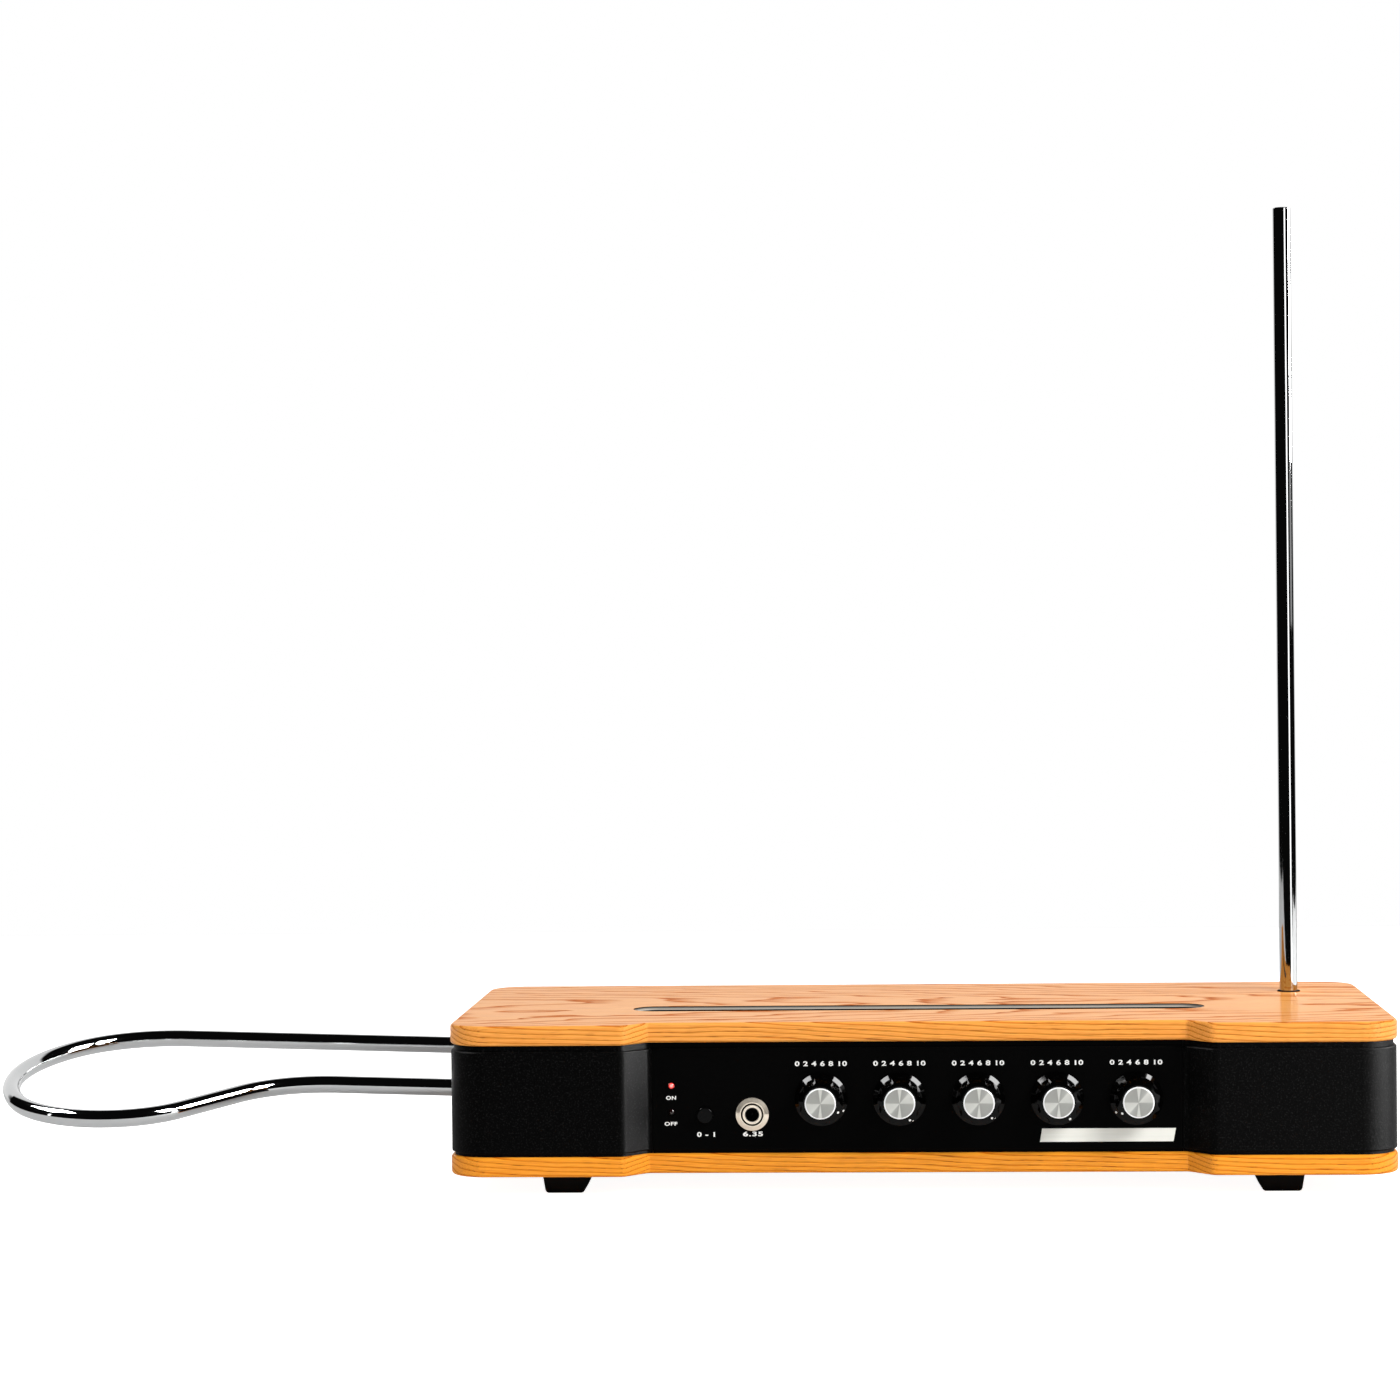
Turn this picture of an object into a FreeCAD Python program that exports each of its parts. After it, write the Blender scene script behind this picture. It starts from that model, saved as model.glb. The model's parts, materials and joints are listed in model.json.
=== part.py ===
"""Table-top theremin: a wood-and-metal case with a rod antenna for pitch and a loop antenna for volume.

Millimetres. +X is to the player's right, -Y is the front panel's side, +Z is up.
The origin is the mouth of the microphone-stand thread, centred in the case's underside.
"""

import FreeCAD
import Part

import math
import os

from FreeCAD import Placement, Rotation, Vector

# ---------------------------------------------------------------- driving sizes

# Case: two wooden plates with a low metal wall between them.
case_width = 472.0
case_depth = 206.0
plate_thickness = 10.0
plate_front_radius = 19.0
plate_rear_radius = 18.0
plate_edge_round = 1.6
wall_space = 55.5                 # from the bottom plate's top to the top plate's underside
wall_inset = 0.3                  # the wall stands this far inside the plates' outline
wall_thickness = 2.7
wall_rim_round = 0.8
lip_setback = 1.5                 # the thin lips at the wall's rims stand back by this much
upper_reveal = 3.0                # shadow gap under the top plate
lower_reveal = 1.5                # shadow gap over the bottom plate
seam_gap = 0.2

# Front recess, with slanted shoulders at both ends.
recess_depth = 12.5
recess_centre_x = -2.0
recess_half_width = 145.5         # to the outer ends of the shoulders
shoulder_run = 11.5
shoulder_outer_round = 6.0
shoulder_inner_round = 2.0
rear_panel_half_width = 120.0

# Posts and screws that hold the two plates together.
post_radius = 5.0
post_edge_distance_x = 28.0
post_edge_distance_y = 21.0
front_post_x = 60.0
front_post_y = -62.0
case_screw_radius = 2.0
case_screw_head_radius = 3.8
case_screw_head_height = 2.6
case_screw_sunk = 1.0
insert_radius = 3.1
insert_length = 8.0
thread_clearance = 0.05
screw_socket_width_ratio = 1.5    # socket across flats over shank radius
screw_socket_depth_ratio = 0.6    # socket depth over head height

# Rubber feet.
foot_height = 10.5
foot_width = 26.0
foot_length = 25.0
foot_outer_draft = 1.8
foot_inner_draft = 5.2
foot_round = 2.0
foot_side_inset = 58.5            # from the case's end to the middle of a foot
foot_front_inset = 17.0
foot_rear_inset = 20.0
foot_screw_radius = 2.0
foot_screw_head_radius = 3.6
foot_screw_head_height = 2.2
foot_screw_length = 8.0
foot_bore_depth = 5.5             # of the recess for the screw's head, from the foot's sole

# Microphone-stand thread in a flange let into the underside.
stand_thread_radius = 7.4         # 5/8 inch thread, minor radius
stand_thread_length = 16.0
stand_boss_radius = 12.0
stand_flange_radius = 32.0
stand_flange_thickness = 3.0
flange_clearance = 0.2
flange_screw_circle = 24.0
flange_screw_radius = 1.75
flange_screw_head_radius = 3.2
flange_screw_head_height = 1.9
flange_screw_length = 6.0
flange_screw_count = 4

# Slot across the top plate, with its liner.
slot_length = 294.5
slot_width = 25.0
slot_centre_x = -1.0
slot_centre_y = -22.4
slot_corner_radius = 12.0
liner_clearance = 0.15
liner_wall = 1.2
liner_depth = 14.0
liner_top_drop = 0.4
liner_flange_width = 8.0
liner_flange_thickness = 1.5

# Pitch antenna: an upright rod that plugs in from above.
pitch_rod_radius = 4.7625         # 3/8 inch
pitch_rod_rise = 417.5            # above the top plate
pitch_rod_engagement = 41.0       # below the top plate's upper face
pitch_antenna_end_distance = 39.0
pitch_antenna_rear_distance = 52.6
running_clearance = 0.05
seat_gap = 0.3
plug_pin_radius = 2.0
plug_pin_length = 7.0
pin_clearance = 0.3
collar_radius = 6.1
collar_proud = 0.6
collar_round = 0.4
sleeve_wall = 2.0
socket_wall = 2.5
socket_flange_radius = 15.0
socket_flange_thickness = 3.0
socket_floor = 9.0

# Volume antenna: a bent loop that plugs in from the left, tilted with its rear leg higher.
loop_rod_radius = 4.5
loop_tilt_deg = 8.05              # about the X axis, rear up
loop_pitch_deg = 1.7              # about the Y axis, outer end up
loop_rear_distance = 45.5         # from the case's rear edge to the rear leg
loop_centre_z = 41.7
loop_leg_spacing = 86.0
loop_bend_start = 162.8           # from the case's end to where the rear leg starts to bend
loop_rear_radius = 67.2
loop_rear_turn_deg = 57.4
loop_nose_radius = 102.4
loop_nose_turn_deg = 61.8
loop_front_radius = 50.1
loop_neck_radius = 60.1
loop_neck_angle_deg = 53.1        # between the neck and the legs
loop_engagement = 34.2            # length of each leg inside the case
leg_hole_clearance = 0.6
bracket_start = 4.5
bracket_back_wall = 8.5
bracket_half_height = 10.0
bracket_side_wall = 5.0
bracket_foot_width = 24.0
bracket_base_thickness = 3.0
bracket_base_reach = 12.0
small_screw_radius = 1.5
small_screw_head_radius = 2.8
small_screw_head_height = 1.6
small_screw_grip = 6.0

# Front panel controls.
knob_count = 5
knob_pitch = 39.1
first_knob_x = -49.5
knob_z = 37.0
knob_pointer_deg = (117.0, 149.0, 140.0, 146.0, -124.0)   # clockwise from straight up
knob_gap = 0.8
knob_height = 18.0
knob_skirt_radius = 13.2
knob_skirt_rim = 1.2
knob_skirt_rise = 3.0
knob_grip_radius = 11.2
knob_top_radius = 10.8
knob_shoulder_run = 2.3
knob_shoulder_drop = 1.4
knob_flute_places = 10            # one place, at the pointer, stays plain
knob_flute_start = 3.6
knob_flute_floor_low = 10.4       # distance of a flute's floor from the axis, at its foot
knob_flute_floor_top = 9.3
knob_flute_top_radius = 4.5
knob_cap_radius = 7.7
knob_cap_thickness = 1.4
knob_cap_chamfer = 0.3
shaft_radius = 3.0
shaft_flat = 1.0                  # depth of the flat on the shaft's end
shaft_reach = 11.5                # above the panel
pot_can_radius = 8.0
pot_can_depth = 9.0
pot_bushing_radius = 3.5
pot_bushing_reach = 5.0
pot_nut_width = 10.0
pot_nut_height = 2.0
nut_clearance = 0.4

button_x = -107.7
button_z = 29.2
button_radius = 4.0
button_clearance = 0.15
button_proud = 2.2
button_round = 0.7
button_flange_radius = 5.0
button_flange_thickness = 1.2
button_travel = 1.2
switch_size = 6.2
switch_height = 3.8
stem_radius = 1.5

led_x = -124.4
power_led_z = 43.9
mute_led_z = 30.8
led_radius = 1.5
led_flange_radius = 1.9
led_proud = 0.9
led_body_depth = 4.0
led_clearance = 0.1

# Quarter-inch jacks, small jacks and the power inlet.
jack_bore_radius = 3.25
jack_barrel_radius = 4.75
jack_barrel_proud = 2.6
jack_depth = 31.5
jack_body_width = 14.0
jack_body_length = 27.0
jack_nut_radius = 8.25
jack_nut_height = 2.2
jack_body_chamfer = 1.2
nut_cone_height_ratio = 0.6       # coned part over the nut's height
nut_cone_width_ratio = 0.61       # coned part over the ring's width
nut_mouth_ratio = 0.27            # countersink of the bore over the ring's width
jack_hole_clearance = 0.15
phones_jack_x = -84.0
phones_jack_z = 29.6
rear_socket_z = 37.0
output_jack_x = 62.0
small_jack_bore_radius = 1.8
small_jack_barrel_radius = 3.0
small_jack_barrel_proud = 2.4
small_jack_depth = 15.0
small_jack_body_width = 9.0
small_jack_body_length = 12.0
small_jack_nut_radius = 4.0
small_jack_nut_height = 1.8
small_jack_count = 3
small_jack_pitch = 20.0
small_jack_centre_x = 0.0
inlet_x = -75.0
inlet_bore_radius = 2.9
inlet_pin_radius = 1.05
inlet_nose_radius = 4.6
inlet_nose_proud = 0.6
inlet_body_width = 10.0
inlet_body_length = 13.0
inlet_depth = 9.5

# Circuit boards and what they carry.
board_thickness = 1.6
board_gap = 10.4                  # under the main board
main_board_length = 250.0
main_board_width = 112.0
main_board_centre_y = 6.0
board_corner_radius = 4.0
board_hole_inset = 6.0
standoff_radius = 3.0
panel_board_margin = 14.0
panel_board_low_z = 19.0
panel_board_high_z = 57.0
indicator_board_left = -132.0
indicator_board_right = -97.0
boss_radius = 2.5
coil_flange_radius = 9.0
coil_core_radius = 3.2
coil_winding_radius = 7.6
coil_height = 14.0
coil_flange_thickness = 1.2
coil_count = 4
coil_pitch = 22.0
chip_length = 20.0
chip_width = 7.6
chip_height = 3.6
chip_pitch = 32.0
chip_row_offset = 16.5
capacitor_radius = 4.0
capacitor_height = 12.0
capacitor_count = 4
capacitor_pitch = 16.0

# ---------------------------------------------------------------- derived places

bottom_plate_top = plate_thickness
top_plate_underside = bottom_plate_top + wall_space
case_top = top_plate_underside + plate_thickness
half_width = case_width / 2
half_depth = case_depth / 2
foot_centre_x = half_width - foot_side_inset
pitch_antenna_x = half_width - pitch_antenna_end_distance
pitch_antenna_y = half_depth - pitch_antenna_rear_distance
loop_centre_y = half_depth - loop_rear_distance - loop_leg_spacing / 2
wall_inner_inset = wall_inset + wall_thickness
panel_face_y = -half_depth + recess_depth + wall_inset
panel_back_y = panel_face_y + wall_thickness
rear_face_y = half_depth - wall_inset
board_front_depth = pot_can_depth      # behind the front panel's back face
main_board_top = bottom_plate_top + board_gap + board_thickness

UP = Vector(0, 0, 1)
ALONG_X = Vector(1, 0, 0)


# ---------------------------------------------------------------- plane outlines

def case_corners(inset=0.0):
    """Corners (x, y, radius) of the case's outline, anticlockwise, moved inwards by inset."""
    front = -half_depth
    recess = front + recess_depth
    left = recess_centre_x - recess_half_width
    right = recess_centre_x + recess_half_width
    corners = [
        (-half_width, front, plate_front_radius),
        (left, front, shoulder_outer_round),
        (left + shoulder_run, recess, shoulder_inner_round),
        (right - shoulder_run, recess, shoulder_inner_round),
        (right, front, shoulder_outer_round),
        (half_width, front, plate_front_radius),
        (half_width, half_depth, plate_rear_radius),
        (-half_width, half_depth, plate_rear_radius),
    ]
    return moved_inwards(corners, inset)


def moved_inwards(corners, gap):
    """The same corners with every side moved to its left by gap."""
    moved = []
    for index, (x, y, radius) in enumerate(corners):
        here = Vector(x, y, 0)
        before = corners[index - 1]
        after = corners[(index + 1) % len(corners)]
        arriving = (here - Vector(before[0], before[1], 0)).normalize()
        leaving = (Vector(after[0], after[1], 0) - here).normalize()
        sides = UP.cross(arriving) + UP.cross(leaving)
        place = here + sides * (gap / (1 + arriving.dot(leaving)))
        turn = math.copysign(1.0, arriving.cross(leaving).z)
        moved.append((place.x, place.y, max(radius - turn * gap, 0.2)))
    return moved


def rounded_edges(corners, closed=True):
    """Straight and arc edges, tangent to each other, round a list of (x, y, radius) corners."""
    points = [Vector(x, y, 0) for x, y, _ in corners]
    stretches = []
    for index, here in enumerate(points):
        radius = corners[index][2]
        if not closed and index in (0, len(points) - 1):
            stretches.append((here, None, here))
            continue
        arriving = (here - points[index - 1]).normalize()
        leaving = (points[(index + 1) % len(points)] - here).normalize()
        half_turn = arriving.getAngle(leaving) / 2
        tangent = radius * math.tan(half_turn)
        inwards = (leaving - arriving).normalize()
        middle = here + inwards * (radius / math.cos(half_turn) - radius)
        stretches.append((here - arriving * tangent, middle, here + leaving * tangent))
    edges = []
    for index, (start, middle, end) in enumerate(stretches):
        if middle is not None:
            edges.append(Part.Arc(start, middle, end).toShape())
        if index + 1 < len(stretches) or closed:
            following = stretches[(index + 1) % len(stretches)][0]
            edges.append(Part.makeLine(end, following))
    return edges


def prism(corners, low, high):
    """Solid between two heights over a rounded outline."""
    face = Part.Face(Part.Wire(rounded_edges(corners)))
    face.translate(Vector(0, 0, low))
    return face.extrude(Vector(0, 0, high - low))


def rectangle_corners(length, width, radius, centre_x=0.0, centre_y=0.0):
    x = length / 2
    y = width / 2
    return [
        (centre_x - x, centre_y - y, radius),
        (centre_x + x, centre_y - y, radius),
        (centre_x + x, centre_y + y, radius),
        (centre_x - x, centre_y + y, radius),
    ]


# ---------------------------------------------------------------- small solids

def block(x_low, x_high, y_low, y_high, z_low, z_high):
    corner = Vector(x_low, y_low, z_low)
    return Part.makeBox(x_high - x_low, y_high - y_low, z_high - z_low, corner)


def rod(radius, low, high, x=0.0, y=0.0):
    return Part.makeCylinder(radius, high - low, Vector(x, y, low))


def tube(outer, inner, low, high, x=0.0, y=0.0):
    return rod(outer, low, high, x, y).cut(rod(inner, low, high, x, y))


def turned(profile):
    """Solid of revolution about Z from a closed list of (radius, height) points."""
    points = [Vector(radius, 0, height) for radius, height in profile]
    face = Part.Face(Part.makePolygon(points + points[:1]))
    return face.revolve(Vector(0, 0, 0), UP, 360)


def hexagon(across_flats, low, high):
    radius = across_flats / math.sqrt(3)
    points = [
        Vector(radius * math.cos(math.radians(60 * k)), radius * math.sin(math.radians(60 * k)), low)
        for k in range(6)
    ]
    face = Part.Face(Part.makePolygon(points + points[:1]))
    return face.extrude(Vector(0, 0, high - low))


def screw(size, x, y, seat, direction=1):
    """Cap screw whose head bears on the plane z = seat and whose shank runs up (1) or down (-1)."""
    radius, length, head_radius, head_height = size
    shank = rod(radius, 0, length)
    head = rod(head_radius, -head_height, 0)
    socket_depth = head_height * screw_socket_depth_ratio
    socket = hexagon(radius * screw_socket_width_ratio, -head_height, socket_depth - head_height)
    solid = shank.fuse(head).removeSplitter().cut(socket)
    if direction < 0:
        solid = solid.mirror(Vector(0, 0, 0), UP)
    solid.translate(Vector(x, y, seat))
    return solid


def small_screw():
    return (small_screw_radius, small_screw_grip, small_screw_head_radius, small_screw_head_height)


def placed_by(solid, placement):
    """Copy of a solid carried from where it was made by a placement."""
    placed = solid.copy()
    placed.Placement = placement.multiply(solid.Placement)
    return placed


def on_front(solid, x, z, pointer_deg=90.0):
    """Places a solid made along +Z on the front panel's face; its own +X points pointer_deg from up."""
    spin = Rotation(UP, 90.0 - pointer_deg)
    out = Rotation(ALONG_X, 90.0)
    return placed_by(solid, Placement(Vector(x, panel_face_y, z), out.multiply(spin)))


def on_rear(solid, x, z):
    """Places a solid made along +Z on the rear panel's outer face."""
    return placed_by(solid, Placement(Vector(x, rear_face_y, z), Rotation(ALONG_X, -90.0)))


def in_loop_frame(solid):
    """Places a solid made in the volume loop's own plane, whose origin lies in the case's left end."""
    tilt = Rotation(ALONG_X, loop_tilt_deg)
    pitch = Rotation(Vector(0, 1, 0), loop_pitch_deg)
    origin = Vector(-half_width, loop_centre_y, loop_centre_z)
    return placed_by(solid, Placement(origin, pitch.multiply(tilt)))


def leg_cylinder(radius, start, length, offset):
    """Cylinder along one leg of the volume loop, from start inwards."""
    return in_loop_frame(Part.makeCylinder(radius, length, Vector(start, offset, 0), ALONG_X))


def cut_all(solid, tools):
    for tool in tools:
        solid = solid.cut(tool)
    return solid


# ---------------------------------------------------------------- places of repeated pieces

def post_places():
    x = half_width - post_edge_distance_x
    y = half_depth - post_edge_distance_y
    corners = [(side * x, end * y) for side in (-1, 1) for end in (-1, 1)]
    return corners + [(-front_post_x, front_post_y), (front_post_x, front_post_y)]


def foot_places():
    """Centre (x, y) of each foot with the side (-1 left, 1 right) that it stands on."""
    front = -half_depth + foot_front_inset + foot_length / 2
    rear = half_depth - foot_rear_inset - foot_length / 2
    return [(side * foot_centre_x, y, side) for side in (-1, 1) for y in (front, rear)]


def flange_screw_places():
    step = 360.0 / flange_screw_count
    angles = [math.radians(step * (k + 0.5)) for k in range(flange_screw_count)]
    return [(flange_screw_circle * math.cos(a), flange_screw_circle * math.sin(a)) for a in angles]


def liner_screw_places():
    x = slot_length / 2 + liner_flange_width / 2
    y = slot_width / 2 + liner_flange_width / 2
    offsets = [(-x, 0), (x, 0), (0, -y), (0, y)]
    return [(slot_centre_x + dx, slot_centre_y + dy) for dx, dy in offsets]


def socket_screw_places():
    reach = (socket_flange_radius + pitch_socket_radius()) / 2
    places = []
    for k in range(3):
        angle = math.radians(90 + 120 * k)
        places.append((pitch_antenna_x + reach * math.cos(angle), pitch_antenna_y + reach * math.sin(angle)))
    return places


def top_screw_places():
    """Each small screw under the top plate: (x, y, height of the plane that its head bears on)."""
    liner_seat = top_plate_underside - liner_flange_thickness
    socket_seat = top_plate_underside - socket_flange_thickness
    return (
        [(x, y, liner_seat) for x, y in liner_screw_places()]
        + [(x, y, socket_seat) for x, y in socket_screw_places()]
    )


def board_hole_places():
    x = main_board_length / 2 - board_hole_inset
    y = main_board_width / 2 - board_hole_inset
    return [(side * x, main_board_centre_y + end * y) for side in (-1, 1) for end in (-1, 1)]


def leg_offsets():
    return (-loop_leg_spacing / 2, loop_leg_spacing / 2)


def knob_places():
    return [first_knob_x + k * knob_pitch for k in range(knob_count)]


def small_jack_places():
    first = small_jack_centre_x - small_jack_pitch * (small_jack_count - 1) / 2
    return [first + k * small_jack_pitch for k in range(small_jack_count)]


def bracket_screw_places():
    x = -half_width + bracket_start + bracket_length() + bracket_base_reach / 2
    return [(x, y) for y in bracket_foot_centres()]


# ---------------------------------------------------------------- case

def wooden_plate(low):
    """Plate with every long edge rounded over."""
    plate = prism(case_corners(), low, low + plate_thickness)
    rims = [edge for edge in plate.Edges if edge.BoundBox.ZLength < 1e-6]
    return plate.makeFillet(plate_edge_round, rims)


def top_plate():
    plate = wooden_plate(top_plate_underside)
    corners = rectangle_corners(slot_length, slot_width, slot_corner_radius, slot_centre_x, slot_centre_y)
    slot = prism(corners, top_plate_underside, case_top)
    collar_hole = rod(collar_radius, top_plate_underside, case_top, pitch_antenna_x, pitch_antenna_y)
    insert_holes = [
        rod(insert_radius, top_plate_underside, top_plate_underside + insert_length, x, y)
        for x, y in post_places()
    ]
    pilot_holes = [
        rod(small_screw_radius, seat, seat + small_screw_grip + thread_clearance, x, y)
        for x, y, seat in top_screw_places()
    ]
    return cut_all(plate, [slot, collar_hole] + insert_holes + pilot_holes)


def bottom_plate():
    plate = wooden_plate(0.0)
    shank = case_screw_radius + thread_clearance
    head = case_screw_head_radius + flange_clearance
    head_room = case_screw_sunk + case_screw_head_height
    holes = []
    for x, y in post_places():
        holes.append(rod(shank, 0, plate_thickness, x, y))
        holes.append(rod(head, 0, head_room, x, y))
    holes.append(rod(stand_flange_radius + flange_clearance, 0, stand_flange_thickness))
    holes.append(rod(stand_boss_radius + flange_clearance, 0, plate_thickness))
    for x, y in flange_screw_places():
        holes.append(rod(flange_screw_radius, 0, stand_flange_thickness + flange_screw_length, x, y))
    for x, y, _ in foot_places():
        holes.append(rod(foot_screw_radius, 0, foot_screw_length - foot_height + foot_bore_depth, x, y))
    low = bottom_plate_top - small_screw_grip + bracket_base_thickness
    for x, y in bracket_screw_places():
        holes.append(rod(small_screw_radius, low, bottom_plate_top, x, y))
    return cut_all(plate, holes)


def wall_ring():
    """The whole wall: an outer skin with a thinner lip that reaches both plates."""
    skin_low = bottom_plate_top + lower_reveal
    skin = prism(case_corners(wall_inset), skin_low, top_plate_underside - upper_reveal)
    rims = [edge for edge in skin.Edges if edge.BoundBox.ZLength < 1e-6]
    skin = skin.makeFillet(wall_rim_round, rims)
    lip = prism(case_corners(wall_inset + lip_setback), bottom_plate_top, top_plate_underside)
    hollow = prism(case_corners(wall_inner_inset), bottom_plate_top, top_plate_underside)
    return skin.fuse(lip).cut(hollow)


def wall_piece(front_from, front_to, rear_from, rear_to):
    """Stretch of the wall between two x values in its front half and two in its rear half."""
    pieces = []
    for x_from, x_to, y_from, y_to in (
        (front_from, front_to, -case_depth, 0.0),
        (rear_from, rear_to, 0.0, case_depth),
    ):
        if x_to > x_from:
            pieces.append(block(x_from, x_to, y_from, y_to, 0.0, case_top))
    region = pieces[0] if len(pieces) == 1 else pieces[0].fuse(pieces[1]).removeSplitter()
    return WALL.common(region)


def front_seams():
    reach = recess_half_width - shoulder_run - shoulder_inner_round
    return recess_centre_x - reach, recess_centre_x + reach


def left_end_shell():
    seam = front_seams()[0] - seam_gap
    shell = wall_piece(-case_width, seam, -case_width, -rear_panel_half_width - seam_gap)
    radius = loop_rod_radius + leg_hole_clearance
    for offset in leg_offsets():
        hole = leg_cylinder(radius, -wall_thickness, 4 * wall_thickness, offset)
        shell = shell.cut(hole)
    return shell


def right_end_shell():
    seam = front_seams()[1] + seam_gap
    return wall_piece(seam, case_width, rear_panel_half_width + seam_gap, case_width)


def front_panel():
    seam_left, seam_right = front_seams()
    panel = wall_piece(seam_left, seam_right, 0.0, 0.0)
    bosses = [
        on_front(rod(boss_radius, -wall_thickness - board_front_depth, -wall_thickness / 2), x, z)
        for x, z in indicator_boss_places()
    ]
    for boss in bosses:
        panel = panel.fuse(boss)
    panel = panel.removeSplitter()
    holes = [(x, knob_z, pot_bushing_radius + jack_hole_clearance) for x in knob_places()]
    holes.append((phones_jack_x, phones_jack_z, jack_barrel_radius + jack_hole_clearance))
    holes.append((button_x, button_z, button_radius + button_clearance))
    holes.append((led_x, power_led_z, led_radius + led_clearance))
    holes.append((led_x, mute_led_z, led_radius + led_clearance))
    return cut_all(panel, [on_front(rod(r, -wall_thickness, wall_thickness), x, z) for x, z, r in holes])


def rear_panel():
    panel = wall_piece(0.0, 0.0, -rear_panel_half_width, rear_panel_half_width)
    holes = [(x, small_jack_barrel_radius + jack_hole_clearance) for x in small_jack_places()]
    holes.append((output_jack_x, jack_barrel_radius + jack_hole_clearance))
    holes.append((inlet_x, inlet_nose_radius + jack_hole_clearance))
    tools = [on_rear(rod(r, -2 * wall_thickness, wall_thickness), x, rear_socket_z) for x, r in holes]
    return cut_all(panel, tools)


def case_posts():
    bore = case_screw_radius + thread_clearance
    return [tube(post_radius, bore, bottom_plate_top, top_plate_underside, x, y) for x, y in post_places()]


def plate_inserts():
    bore = case_screw_radius + thread_clearance
    top = top_plate_underside + insert_length
    return [tube(insert_radius, bore, top_plate_underside, top, x, y) for x, y in post_places()]


def case_screws():
    seat = case_screw_sunk + case_screw_head_height
    length = top_plate_underside + insert_length - seat - thread_clearance
    size = (case_screw_radius, length, case_screw_head_radius, case_screw_head_height)
    return [screw(size, x, y, seat) for x, y in post_places()]


def rubber_feet():
    """Feet with a steep outer side and a slanted inner side, bored for their screws."""
    feet = []
    for x, y, side in foot_places():
        outer = x + side * foot_width / 2
        inner = x - side * foot_width / 2
        points = [
            Vector(outer, y - foot_length / 2, 0),
            Vector(inner, y - foot_length / 2, 0),
            Vector(inner + side * foot_inner_draft, y - foot_length / 2, -foot_height),
            Vector(outer - side * foot_outer_draft, y - foot_length / 2, -foot_height),
        ]
        foot = Part.Face(Part.makePolygon(points + points[:1])).extrude(Vector(0, foot_length, 0))
        sides = [edge for edge in foot.Edges if edge.BoundBox.ZMin < -foot_round]
        foot = foot.makeFillet(foot_round, sides)
        bore = rod(foot_screw_radius + thread_clearance, -foot_height, 0, x, y)
        head_radius = foot_screw_head_radius + flange_clearance
        head_room = rod(head_radius, -foot_height, foot_bore_depth - foot_height, x, y)
        feet.append(foot.cut(bore).cut(head_room))
    return feet


def foot_screws():
    seat = foot_bore_depth - foot_height
    size = (foot_screw_radius, foot_screw_length, foot_screw_head_radius, foot_screw_head_height)
    return [screw(size, x, y, seat) for x, y, _ in foot_places()]


def mic_stand_flange():
    """Flange with a threaded boss, its face level with the plate's underside."""
    flange = rod(stand_flange_radius, 0, stand_flange_thickness)
    flange = flange.fuse(rod(stand_boss_radius, 0, stand_thread_length)).removeSplitter()
    flange = flange.cut(rod(stand_thread_radius, 0, stand_thread_length))
    shank = flange_screw_radius + thread_clearance
    head = flange_screw_head_radius + flange_clearance
    for x, y in flange_screw_places():
        flange = flange.cut(rod(shank, 0, stand_flange_thickness, x, y))
        flange = flange.cut(rod(head, 0, flange_screw_head_height, x, y))
    return flange


def mic_flange_screws():
    seat = flange_screw_head_height
    size = (flange_screw_radius, flange_screw_length, flange_screw_head_radius, flange_screw_head_height)
    return [screw(size, x, y, seat) for x, y in flange_screw_places()]


def slot_liner():
    """Trough that lines the slot, with a flange that screws to the top plate's underside."""
    length = slot_length - 2 * liner_clearance
    width = slot_width - 2 * liner_clearance
    radius = slot_corner_radius - liner_clearance
    floor = case_top - liner_depth
    outside = rectangle_corners(length, width, radius, slot_centre_x, slot_centre_y)
    inside = moved_inwards(outside, liner_wall)
    flange_corners = moved_inwards(outside, -liner_flange_width)
    flange = prism(flange_corners, top_plate_underside - liner_flange_thickness, top_plate_underside)
    trough = prism(outside, floor, case_top - liner_top_drop).fuse(flange)
    trough = trough.cut(prism(inside, floor + liner_wall, case_top))
    for x, y in liner_screw_places():
        low = top_plate_underside - liner_flange_thickness
        trough = trough.cut(rod(small_screw_radius + thread_clearance, low, top_plate_underside, x, y))
    return trough.removeSplitter()


def top_plate_screws():
    return [screw(small_screw(), x, y, seat) for x, y, seat in top_screw_places()]


# ---------------------------------------------------------------- pitch antenna

def pitch_rod_foot():
    return case_top - pitch_rod_engagement


def pitch_socket_radius():
    return pitch_rod_radius + running_clearance + sleeve_wall + socket_wall


def pitch_antenna_rod():
    """Plain rod with a small chamfer at its cut top."""
    foot = pitch_rod_foot()
    top = case_top + pitch_rod_rise
    chamfer = collar_round
    profile = [
        (0, foot),
        (pitch_rod_radius, foot),
        (pitch_rod_radius, top - chamfer),
        (pitch_rod_radius - chamfer, top),
        (0, top),
    ]
    shape = turned(profile)
    shape.translate(Vector(pitch_antenna_x, pitch_antenna_y, 0))
    return shape


def pitch_antenna_plug():
    foot = pitch_rod_foot()
    return rod(plug_pin_radius, foot - plug_pin_length, foot, pitch_antenna_x, pitch_antenna_y)


def pitch_antenna_collar():
    """Thin collar pressed into the top plate round the rod."""
    bore = pitch_rod_radius + running_clearance
    top = case_top + collar_proud
    profile = [
        (bore, top_plate_underside),
        (collar_radius, top_plate_underside),
        (collar_radius, top - collar_round),
        (collar_radius - collar_round, top),
        (bore, top),
    ]
    shape = turned(profile)
    shape.translate(Vector(pitch_antenna_x, pitch_antenna_y, 0))
    return shape


def pitch_antenna_sleeve():
    bore = pitch_rod_radius + running_clearance
    low = pitch_rod_foot() - seat_gap
    return tube(bore + sleeve_wall, bore, low, top_plate_underside, pitch_antenna_x, pitch_antenna_y)


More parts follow.
